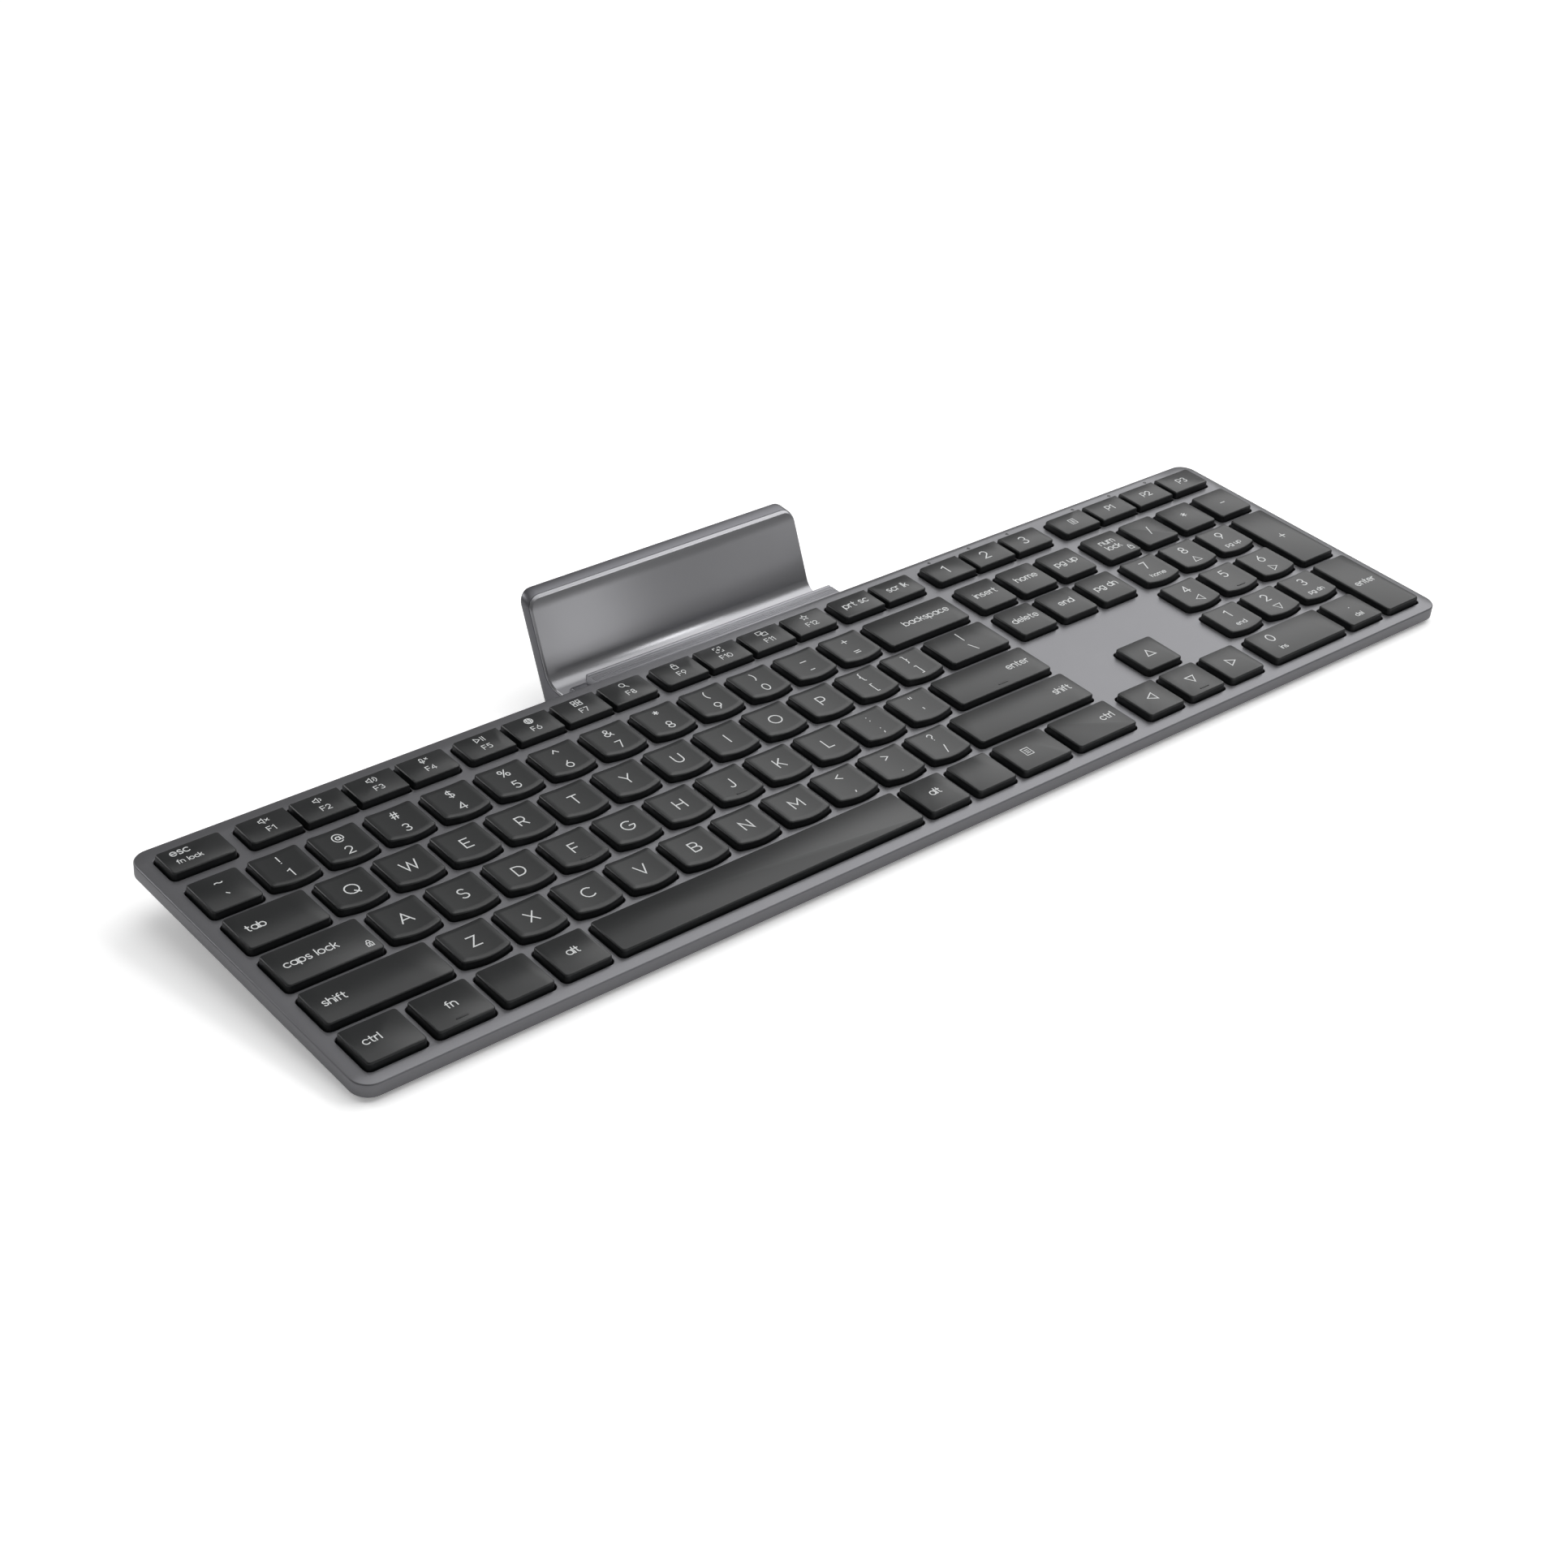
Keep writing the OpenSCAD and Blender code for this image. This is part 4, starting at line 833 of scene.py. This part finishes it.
def middle(text, height=WORD, v=0.0, u=0.0, width=WORD_STROKE):
    return (text, height, u, v, 0.5, width, None)


def at_left(text, height=WORD, v=0.0, inset=3.6, width=WORD_STROKE):
    return (text, height, inset, v, 0, width, "low")


def at_right(text, height=WORD, v=0.0, inset=3.5, width=WORD_STROKE):
    return (text, height, -inset, v, 1, width, "high")


def letters(text):
    return [[middle(c, LETTER, width=STROKE)] for c in text]


def two_signs(upper, lower):
    return [[middle(a, SIGN_HEIGHT, 3.4), middle(b, SIGN_HEIGHT, -3.2)]
            for a, b in zip(upper, lower)]


def function_keys(first, signs):
    return [[middle(sign, 2.7, 2.45, width=FINE_STROKE),
             middle("F" + str(first + i), 2.1, -1.75, width=FINE_STROKE)]
            for i, sign in enumerate(signs)]


def words(*texts, height=WORD):
    return [[middle(text, height)] if text else [] for text in texts]


def pad_key(digit, second):
    """A keypad key: its digit, and below it a small word or a sign."""
    size, v = (SIGN_HEIGHT, -3.7) if second in SIGNS else (PAD_WORD, -3.8)
    lower = [middle(second, size, v, width=FINE_STROKE)] if second else []
    return [[middle(digit, PAD_DIGIT, 2.7, width=STROKE)] + lower]


LEGENDS = {
    "keys_escape": [[at_left("esc", WORD, 2.65, 3.7),
                     at_left("fn lock", 1.8, -1.55, 3.7, FINE_STROKE)]],
    "keys_f1_f4": function_keys(1, ["mute", "quieter", "louder", "microphone"]),
    "keys_f5_f8": function_keys(5, ["play", "globe", "squares", "magnifier"]),
    "keys_f9_f12": function_keys(9, ["padlock", "new_square", "screens", "star"]),
    "keys_print_scroll": words("prt sc", "scr lk"),
    "keys_devices": [[middle(c, LETTER, 0, -1.2, STROKE)] for c in "123"],
    "keys_macro": [[middle("list", 3.0, width=FINE_STROKE)]] + words("P1", "P2", "P3"),
    "keys_numbers": two_signs("~!@#$%^&*()_+", "`1234567890-="),
    "key_backspace": [[at_right("backspace")]],
    "key_tab": [[at_left("tab")]],
    "keys_upper_letters": letters("QWERTYUIOP") + two_signs("{}|", "[]\\"),
    "key_caps_lock": [[at_left("caps lock"),
                       at_right("capital_lock", 2.6, -4.2, 3.05, FINE_STROKE)]],
    "keys_home_letters": letters("ASDFGHJKL") + two_signs(":\"", ";'"),
    "key_enter": [[at_right("enter")]],
    "key_left_shift": [[at_left("shift")]],
    "keys_lower_letters": letters("ZXCVBNM") + two_signs("<>?", ",./"),
    "key_right_shift": [[at_right("shift")]],
    "keys_left_modifiers": [[at_left("ctrl")]] + words("fn", "", "alt"),
    "key_space": [[]],
    "keys_right_modifiers": words("alt", "") + [[middle("list", 3.4, 0, -2.1, FINE_STROKE)],
                                                [at_right("ctrl")]],
    "keys_navigation": words("delete", "end", "pg dn", "insert", "home", "pg up"),
    "keys_arrows": words("left", "down", "right", "up", height=3.6),
    "pad_num_lock": [[middle("num", v=2.1), middle("lock", v=-1.7),
                      middle("padlock", 2.6, -4.5, 5.1, FINE_STROKE)]],
    "pad_divide": words("/", height=LETTER),
    "pad_multiply": words("*", height=LETTER),
    "pad_subtract": words("-", height=LETTER),
    "pad_add": words("+", height=LETTER),
    "pad_enter": words("enter"),
    "pad_0": [[middle("0", PAD_DIGIT, 2.8, -9.4, STROKE),
               middle("ins", PAD_WORD, -3.5, -9.4, FINE_STROKE)]],
    "pad_decimal": pad_key(".", "del"),
}
for digit, second in zip("123456789", ("end", "down", "pg dn", "left", "", "right", "home", "up",
                                       "pg up")):
    LEGENDS["pad_" + digit] = pad_key(digit, second)


def build_legends(node):
    """The legends of a node's keys in one piece, which rides on them."""
    bm = bmesh.new()
    for cap, marks in zip(CAPS[node], LEGENDS[node]):
        u, v = cap_middle(cap)
        ends = {None: u, "low": cap.low.x, "high": cap.high.x}
        for text, height, du, dv, align, width, end in marks:
            draw(bm, text, height, ends[end] + du, v + dv, cap_surface(cap), align, width)
    bmesh.ops.recalc_face_normals(bm, faces=bm.faces)
    make_piece(node + "_legends", bm, node, [LEGEND_INK], crease=40)


for node in KEY_NODES:
    if any(LEGENDS[node]):
        build_legends(node)

# ---------------------------------------------------------------- deck

DECK_THICKNESS = 1.0
CASE_CORNER = 5.8
CASE_CORNER_STEPS = 10
WALL_THICKNESS = 1.2
WALL_CHAMFER = 0.25
# The deck's edge, a chamfer with crisp ends: how far it has grown, and its height from the top
DECK_EDGE = [(-0.35, 0), (-0.31, -0.02), (-0.02, -0.31), (0, -0.35)]
CAP_CLEARANCE = 0.55
HOLE_CHAMFER = 0.14
LIGHT_HOLE = 0.5
LIGHT_HOLE_SIDES = 16


def build_deck():
    """The metal top: a plate with an opening for each cap and light, and its side wall."""
    low, high, _ = solids("top_case")[0]
    lights = [((a.x + b.x) / 2, (a.y + b.y) / 2) for a, b, _ in solids("status_lights")]
    bm = bmesh.new()
    wall = [(g, high.z + h) for g, h in DECK_EDGE]
    wall += [(0, low.z + WALL_CHAMFER), (-WALL_CHAMFER, low.z), (-WALL_THICKNESS, low.z),
             (-WALL_THICKNESS, high.z - DECK_THICKNESS)]
    outer = [ring(bm, rounded_outline(low, high, CASE_CORNER, g, CASE_CORNER_STEPS), w)
             for g, w in wall]
    for upper, lower in zip(outer, outer[1:]):
        bridge(bm, lower, upper)
    tops, undersides = [outer[0]], [outer[-1]]
    openings = [lambda g, c=cap: cap_outline(c, CAP_CLEARANCE + g)
                for caps in CAPS.values() for cap in caps]
    last_angle = 360 - 360 / LIGHT_HOLE_SIDES
    openings += [lambda g, p=spot: arc(*p, LIGHT_HOLE + g, 0, last_angle, LIGHT_HOLE_SIDES - 1)
                 for spot in lights]
    for opening in openings:
        levels = [(HOLE_CHAMFER, high.z), (0, high.z - HOLE_CHAMFER),
                  (0, high.z - DECK_THICKNESS)]
        rings = [ring(bm, opening(g), w) for g, w in levels]
        stack(bm, rings)
        tops.append(rings[0])
        undersides.append(rings[2])
    sheet_between(bm, tops, up=True)
    sheet_between(bm, undersides, up=False)
    make_piece("deck_shell", bm, "case", [DECK_METAL], ["top_case"], crease=28)


build_deck()

# ---------------------------------------------------------------- cradle

CRADLE_LEAN = math.radians(25.6)
BACK_LENGTH = 24.5
BACK_THICKNESS = 5.2
BEND_RADIUS = 6.0
# From the hinge to the middle of the bend
BEND_AHEAD = 11.2
KNUCKLE_RADIUS = 3.0
# Where the knuckle's front ends, in degrees round the hinge
KNUCKLE_END = 54
HEEL_RADIUS = 3.0
HEEL_CLEARANCE = 1.5
TOP_CORNER = 4.6
# How far the top edge rises to the rear
TOP_RISE = 1.05
# Rows along the floor: the distance from the hinge, and the share of the way along the underside
FLOOR_ROWS = [(4.2, 0.2), (5.6, 0.35), (5.65, 0.36), (5.8, 0.37), (8.5, 0.7)]
# Rows up the back: the share of the way to the top corner
BACK_ROWS = (0.3, 0.65)
CURVE_ROWS = 10
KNUCKLE_ROWS = 9
# The row from which the shell is recessed for its face panel
RECESS_ROW = 11
# Across the front from its edge: distance from the outline, and depth. The knuckle's edge, the
# shell's edge under the face panel, and the panel's own chamfered edge
KNUCKLE_EDGE = [(0, 0.4), (0.06, 0.18), (0.2, 0.05), (0.45, 0), (1.0, 0)]
SHELL_EDGE = [(0, 1.22), (0.06, 1.06), (0.18, 1.0), (0.45, 1.0), (1.0, 1.0)]
BACK_EDGE = [(0, 0.7), (0.08, 0.35), (0.3, 0.09), (0.7, 0)]
PANEL_EDGE = [(0.5, 0.96), (0.25, 0.9), (0.16, 0.84), (0.16, 0.72), (0.2, 0.64), (0.64, 0.06),
              (0.76, 0.0)]

hinge = (DECK.inverted() @ Vector(joints["cradle_lean"]["pos_m"])).yz
cradle_low, cradle_high = [corner.x for corner in solids("cradle")[0][:2]]
cradle_middle = (cradle_low + cradle_high) / 2
cradle_half = (cradle_high - cradle_low) / 2
up_back = Vector((math.sin(CRADLE_LEAN), math.cos(CRADLE_LEAN)))
square = Vector((math.cos(CRADLE_LEAN), -math.sin(CRADLE_LEAN)))
level = Vector((math.cos(TILT), -math.sin(TILT)))
skyward = Vector((math.sin(TILT), math.cos(TILT)))
# Going in by 1 mm square to the back, along its top edge, which rises to the rear
back_lean = CRADLE_LEAN - TILT
top_depth = (BACK_THICKNESS + TOP_RISE * math.sin(back_lean)) / math.cos(back_lean)
deeper = (top_depth * level + TOP_RISE * skyward) / BACK_THICKNESS
bend_center = hinge + Vector((BEND_AHEAD, BEND_RADIUS))
bend_end = bend_center + BEND_RADIUS * square
# The heel touches the back's rear plane and a level plane just above the desk
to_back = square.dot(bend_end) + BACK_THICKNESS - HEEL_RADIUS
to_desk = HEEL_CLEARANCE + HEEL_RADIUS
heel_center = Vector((to_back * skyward.y - to_desk * square.y,
                      to_desk * square.x - to_back * skyward.x)) / (
                          square.x * skyward.y - square.y * skyward.x)


def around(center, radius, degrees):
    angle = math.radians(degrees)
    return center + radius * Vector((math.cos(angle), math.sin(angle)))


def cradle_rows():
    """Rows from the knuckle's front, along the floor, round the bend and up to the top. Each
    is two functions of the inset from the outline and the depth, for the front and the back,
    that give half the width there and the place in the side view."""
    rows = []

    def row(front, back):
        rows.append((lambda m, d: (cradle_half - m, front(d)),
                     lambda m, d: (cradle_half - m, back(d))))

    for a, b in zip(spread(180, KNUCKLE_END, KNUCKLE_ROWS), spread(180, 270, KNUCKLE_ROWS)):
        row(lambda d, a=a: around(hinge, KNUCKLE_RADIUS - d, a),
            lambda d, b=b: around(hinge, KNUCKLE_RADIUS - d, b))
    knuckle_foot = around(hinge, KNUCKLE_RADIUS, 270)
    heel_foot = heel_center - HEEL_RADIUS * skyward
    for v, share in FLOOR_ROWS:
        row(lambda d, v=v: hinge + Vector((v, -d)),
            lambda d, s=share: knuckle_foot.lerp(heel_foot, s) + d * skyward)
    lean = math.degrees(CRADLE_LEAN)
    tilt = math.degrees(TILT)
    for a, b in zip(spread(270, 360 - lean, CURVE_ROWS), spread(-90 - tilt, -lean, CURVE_ROWS)):
        row(lambda d, a=a: around(bend_center, BEND_RADIUS + d, a),
            lambda d, b=b: around(heel_center, HEEL_RADIUS - d, b))
    shoulder = BACK_LENGTH - TOP_CORNER
    rear_end = bend_end + BACK_THICKNESS * deeper
    heel_rise = (around(heel_center, HEEL_RADIUS, -lean) - rear_end).dot(up_back)
    for share in BACK_ROWS:
        low = shoulder * share
        high = heel_rise + (shoulder - heel_rise) * share
        row(lambda d, s=low: bend_end + s * up_back + d * deeper,
            lambda d, s=high: rear_end + s * up_back - d * deeper)
    for a in spread(0, math.pi / 2, CURVE_ROWS):
        def outline(m, a=a):
            r = TOP_CORNER - m
            return (cradle_half - TOP_CORNER + r * math.cos(a),
                    (shoulder + r * math.sin(a)) * up_back)
        rows.append((lambda m, d, o=outline: (o(m)[0], bend_end + o(m)[1] + d * deeper),
                     lambda m, d, o=outline: (o(m)[0], rear_end + o(m)[1] - d * deeper)))
    return rows


def cradle_ring(bm, rows, side, edge, first=None):
    """Vertices up the left side, over the top and down the right side, where edge is the inset
    and the depth. The knuckle's rows take first in its place."""
    left, right = [], []
    for i, row in enumerate(rows):
        half, place = row[side](*(first if first and i < RECESS_ROW else edge))
        left.append(bm.verts.new((cradle_middle - half, *place)))
        right.append(bm.verts.new((cradle_middle + half, *place)))
    return left + right[::-1]


def ladder(bm, verts):
    """Fills between the left and right halves of a cradle ring."""
    last = len(verts) - 1
    for i in range(len(verts) // 2 - 1):
        bm.faces.new((verts[i], verts[i + 1], verts[last - i - 1], verts[last - i]))


CLOSE_SEAM = 0.0005


def close_up(bm):
    """Welds the seams and turns every face outwards."""
    bmesh.ops.remove_doubles(bm, verts=bm.verts, dist=CLOSE_SEAM)
    bmesh.ops.dissolve_degenerate(bm, edges=bm.edges, dist=CLOSE_SEAM)
    bmesh.ops.recalc_face_normals(bm, faces=bm.faces)


def build_cradle():
    """The folded cradle: knuckle, floor, bend and back in one, with a recess for its face."""
    rows = cradle_rows()
    bm = bmesh.new()
    front = [cradle_ring(bm, rows, 0, shell, knuckle)
             for shell, knuckle in zip(reversed(SHELL_EDGE), reversed(KNUCKLE_EDGE))]
    back = [cradle_ring(bm, rows, 1, edge) for edge in BACK_EDGE + [(1.0, 0)]]
    rings = front + back
    stack(bm, rings, closed=False)
    ladder(bm, rings[0])
    ladder(bm, rings[-1])
    close_up(bm)
    return bm


def build_cradle_face():
    """The satin face: a thin chamfered panel over the floor, the bend and the back."""
    rows = cradle_rows()[RECESS_ROW + 1:]
    bm = bmesh.new()
    rings = [cradle_ring(bm, rows, 0, edge) for edge in PANEL_EDGE]
    stack(bm, rings, closed=False)
    ladder(bm, rings[0])
    ladder(bm, rings[-1])
    bm.faces.new([r[0] for r in rings] + [r[-1] for r in reversed(rings)])
    close_up(bm)
    return bm


def soften(bm, width, steps=2, sharper=30):
    """Rounds every edge that is sharper than the angle."""
    limit = math.radians(sharper)
    edges = [e for e in bm.edges if len(e.link_faces) == 2 and e.calc_face_angle() > limit]
    bmesh.ops.bevel(bm, geom=edges, offset=width, segments=steps, profile=0.5, affect="EDGES",
                    clamp_overlap=True)


LUG_WIDTH = 10.0
LUG_REACH = 7.5
LUG_RADIUS = 2.0
LUG_INSET = 2.0
LUG_DEPTH = 1.0
LUG_SOFTNESS = 0.9


def build_lugs(bm):
    """The two lugs that carry the hinge's load into the floor, at the ends of the rail."""
    top = hinge.y + KNUCKLE_RADIUS
    foot = hinge.y - LUG_DEPTH
    side = ([(hinge.x, foot), (hinge.x, top)]
            + arc(hinge.x + LUG_REACH - LUG_RADIUS, top - LUG_RADIUS, LUG_RADIUS, 90, 0, 6)
            + [(hinge.x + LUG_REACH, foot)])
    lugs = bmesh.new()
    for sign in (-1, 1):
        center = cradle_middle + sign * (cradle_half - LUG_INSET - LUG_WIDTH / 2)
        prism(lugs, side, center - LUG_WIDTH / 2, center + LUG_WIDTH / 2)
    bmesh.ops.recalc_face_normals(lugs, faces=lugs.faces)
    soften(lugs, LUG_SOFTNESS, 3)
    mesh = bpy.data.meshes.new("lugs")
    lugs.to_mesh(mesh)
    lugs.free()
    bm.from_mesh(mesh)
    bpy.data.meshes.remove(mesh)


cradle_mesh = build_cradle()
build_lugs(cradle_mesh)
make_piece("cradle_shell", cradle_mesh, "cradle", [CRADLE_LACQUER], ["cradle"])
make_piece("cradle_lining", build_cradle_face(), "cradle", [CRADLE_SATIN],
           ["cradle_pad"])

# ---------------------------------------------------------------- rail

RAIL_GROOVES = 4
GROOVE_START = 1.0
GROOVE_PITCH = 0.62
GROOVE_WIDTH = 0.16
GROOVE_DEPTH = 0.12
BEAD_RADIUS = 0.8
# The step before the bead: how far ahead of the bead's middle, and how far below the top
BEAD_STEP = [(1.0, 0.0), (0.8, 0.3), (0.62, 0.3)]
REAR_RADIUS = 1.2
RAIL_END_INSET = 0.4
RAIL_END_BEVEL = 0.1


def build_rail():
    """The rail in front of the slot: fine grooves along its top and a rounded bead behind."""
    low, high, _ = solids("cradle_rail")[0]
    side = [(low.y, low.z), (low.y, high.z)]
    for i in range(RAIL_GROOVES):
        v = low.y + GROOVE_START + i * GROOVE_PITCH
        side += [(v, high.z), (v + GROOVE_WIDTH / 2, high.z - GROOVE_DEPTH),
                 (v + GROOVE_WIDTH, high.z)]
    bead = high.y - BEAD_RADIUS
    side += [(bead - ahead, high.z - drop) for ahead, drop in BEAD_STEP]
    side += arc(bead, high.z - BEAD_RADIUS, BEAD_RADIUS, 130, 0, 10)
    side += arc(high.y - REAR_RADIUS, low.z + REAR_RADIUS, REAR_RADIUS, 0, -90, 6)
    bm = bmesh.new()
    prism(bm, side, low.x + RAIL_END_INSET, high.x)
    bmesh.ops.recalc_face_normals(bm, faces=bm.faces)
    ends = [e for e in bm.edges if abs(e.verts[0].co.x - e.verts[1].co.x) < 0.001]
    bmesh.ops.bevel(bm, geom=ends, offset=RAIL_END_BEVEL, segments=2, profile=0.5,
                    affect="EDGES", clamp_overlap=True)
    make_piece("cradle_rail_bar", bm, "case", [RAIL_METAL], ["cradle_rail"])


build_rail()

# ---------------------------------------------------------------- softened small parts

# Node of the case: material, slot, and how far its edges are rounded in millimetres
SOFTENED = {
    "hinge_ears": (BASE_PLASTIC, "base_plastic", 0.5),
    "front_feet": (FOOT_RUBBER, "foot_rubber", 0.35),
    "rear_feet": (FOOT_RUBBER, "foot_rubber", 0.5),
    "charging_socket": (SOCKET_STEEL, "socket_steel", 0.12),
    "status_lights": (LIGHT_PIPE, "light_pipe", 0.08),
    "hinge_shaft": (SHAFT_STEEL, "shaft_steel", 0.2),
}
for node, (material, slot, width) in SOFTENED.items():
    bm = deck_mesh(node)
    bmesh.ops.dissolve_limit(bm, angle_limit=math.radians(1), verts=bm.verts, edges=bm.edges)
    soften(bm, width, 3)
    make_piece(node + "_rounded", bm, "case", [material], [node])

SLIDER_RIDGES = 5
RIDGE_HEIGHT = 0.25
RIDGE_MARGIN = 0.3
SLIDER_SOFTNESS = 0.06


def build_slider():
    """The power switch's slider, with upright ridges for the finger."""
    low, high, _ = solids("power_switch")[0]
    face = high.y - RIDGE_HEIGHT
    pitch = (high.x - low.x - 2 * RIDGE_MARGIN) / SLIDER_RIDGES
    ridge = [(0, face), (0.2, high.y), (0.6, high.y), (0.8, face)]
    top = [(low.x, low.y), (low.x, face)]
    for i in range(SLIDER_RIDGES):
        u = low.x + RIDGE_MARGIN + i * pitch
        top += [(u + share * pitch, v) for share, v in ridge]
    top += [(high.x, face), (high.x, low.y)]
    bm = bmesh.new()
    prism(bm, top, low.z, high.z, upright=True)
    bmesh.ops.recalc_face_normals(bm, faces=bm.faces)
    soften(bm, SLIDER_SOFTNESS)
    make_piece("power_slider", bm, "power_switch", [SWITCH_PLASTIC],
               ["power_switch"])


build_slider()

# ---------------------------------------------------------------- domes and scissor arms

# The CAD nodes of the rubber domes and of the scissor arms
SPRING_NODES = ["rubber_domes", "scissor_arms"]


def owner_of(point):
    """The key node under whose cap a point lies."""
    for node, caps in CAPS.items():
        for cap in caps:
            if cap.low.x < point.x < cap.high.x and cap.low.y < point.y < cap.high.y:
                return node
    raise ValueError("no cap above " + str(point))


def build_springs():
    """Each key's domes and scissor arms in one piece, which rides on the case."""
    groups = {node: bmesh.new() for node in KEY_NODES}
    for material, source in enumerate(SPRING_NODES):
        whole = deck_mesh(source)
        made = {}
        for face in whole.faces:
            bm = groups[owner_of(face.verts[0].co)]
            for vert in face.verts:
                if vert not in made:
                    made[vert] = bm.verts.new(vert.co)
            bm.faces.new([made[vert] for vert in face.verts]).material_index = material
        whole.free()
    anchor = DECK @ Vector((0, 0, solids("membrane")[0][1].z))
    for node, bm in groups.items():
        piece = make_piece(node + "_springs", bm, "case", [DOME_RUBBER, SCISSOR_ACETAL],
                           SPRING_NODES)
        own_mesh(piece)


build_springs()

# ---------------------------------------------------------------- screws

HEAD_HEIGHT = 0.9
RIM_HEIGHT = 0.14
SHANK_RADIUS = 0.8
# Length and width of an arm of the recess, as shares of the head's radius
RECESS = (1.3, 0.26)


def screw_tree(sizes):
    """Geometry nodes that put a cross-recess screw, head down, at each point. The head is a
    drum on a chamfered rim."""
    tree = bpy.data.node_groups.new("case_screw_set", "GeometryNodeTree")
    tree.interface.new_socket("Points", in_out="INPUT", socket_type="NodeSocketGeometry")
    for name in sizes:
        tree.interface.new_socket(name, in_out="INPUT", socket_type="NodeSocketFloat")
    tree.interface.new_socket("Screws", in_out="OUTPUT", socket_type="NodeSocketGeometry")
    given = add(tree, "NodeGroupInput").outputs
    rim = add(tree, "GeometryNodeMeshCone",
              [("Radius Bottom", given["Rim Radius"]), ("Radius Top", given["Head Radius"]),
               ("Depth", given["Rim Height"])], Vertices=32)
    drum = add(tree, "GeometryNodeMeshCylinder",
               [("Radius", given["Head Radius"]), ("Depth", given["Drum Height"])], Vertices=32)
    shank = add(tree, "GeometryNodeMeshCylinder",
                [("Radius", given["Shank Radius"]), ("Depth", given["Shank Length"])],
                Vertices=20)
    raised = []
    for mesh, height in ((drum, "Drum Middle"), (shank, "Shank Middle")):
        offset = add(tree, "ShaderNodeCombineXYZ", [("Z", given[height])])
        raised.append(add(tree, "GeometryNodeTransform", [("Geometry", mesh.outputs["Mesh"]),
                                                          ("Translation", offset.outputs[0])]))
    solid = add(tree, "GeometryNodeMeshBoolean",
                [("Mesh 2", rim.outputs["Mesh"]), ("Mesh 2", raised[0].outputs[0])],
                operation="UNION")
    cut = add(tree, "GeometryNodeMeshBoolean", [("Mesh 1", solid.outputs["Mesh"])],
              operation="DIFFERENCE")
    for along, across in ("XY", "YX"):
        size = add(tree, "ShaderNodeCombineXYZ",
                   [(along, given["Slot Length"]), (across, given["Slot Width"]),
                    ("Z", given["Slot Height"])])
        slot = add(tree, "GeometryNodeMeshCube", [("Size", size.outputs[0])])
        tree.links.new(slot.outputs["Mesh"], cut.inputs["Mesh 2"])
    screw = add(tree, "GeometryNodeJoinGeometry", [("Geometry", cut.outputs["Mesh"]),
                                                   ("Geometry", raised[1].outputs[0])])
    placed = add(tree, "GeometryNodeInstanceOnPoints", [("Points", given["Points"]),
                                                        ("Instance", screw.outputs[0])])
    real = add(tree, "GeometryNodeRealizeInstances", [("Geometry", placed.outputs[0])])
    painted = add(tree, "GeometryNodeSetMaterial", [("Geometry", real.outputs[0])],
                  Material=SCREW_STEEL)
    add(tree, "NodeGroupOutput", [("Screws", painted.outputs[0])])
    return tree


def build_screws():
    """The case's screws, one at the foot of each of the node's solids."""
    spots = solids("case_screws")
    length = spots[0][1].z - spots[0][0].z
    radius = (spots[0][1].x - spots[0][0].x) / 2
    sizes = {
        "Head Radius": radius, "Rim Radius": radius - RIM_HEIGHT, "Rim Height": RIM_HEIGHT,
        "Drum Height": HEAD_HEIGHT - RIM_HEIGHT, "Drum Middle": (HEAD_HEIGHT + RIM_HEIGHT) / 2,
        "Slot Length": RECESS[0] * radius, "Slot Width": RECESS[1] * radius,
        "Slot Height": HEAD_HEIGHT, "Shank Radius": SHANK_RADIUS,
        "Shank Length": length - HEAD_HEIGHT, "Shank Middle": (length + HEAD_HEIGHT) / 2,
    }
    points = bpy.data.meshes.new("screw_spots")
    points.from_pydata([((a.x + b.x) / 2, (a.y + b.y) / 2, a.z) for a, b, _ in spots], [], [])
    holder = bpy.data.objects.new("screw_spots", points)
    scene.collection.objects.link(holder)
    modifier = holder.modifiers.new("screws", "NODES")
    modifier.node_group = screw_tree(sizes)
    for item in modifier.node_group.interface.items_tree:
        if item.name in sizes:
            modifier[item.identifier] = sizes[item.name]
    made = bpy.data.meshes.new_from_object(holder.evaluated_get(
        bpy.context.evaluated_depsgraph_get()))
    bpy.data.objects.remove(holder)
    bm = bmesh.new()
    bm.from_mesh(made)
    bpy.data.meshes.remove(made)
    make_piece("cross_recess_screws", bm, "case", [SCREW_STEEL], ["case_screws"])


build_screws()

# ---------------------------------------------------------------- carried-over CAD nodes

NODE_FINISHES = {
    "bottom_case": BASE_PLASTIC, "membrane": MEMBRANE_FILM, "switch_plate": PLATE_STEEL,
    "battery_pack": BATTERY_WRAP, "main_board": BOARD_LAMINATE,
}
for node, material in NODE_FINISHES.items():
    slots = nodes[node].data.materials
    if slots:
        for i in range(len(slots)):
            slots[i] = material
    else:
        slots.append(material)
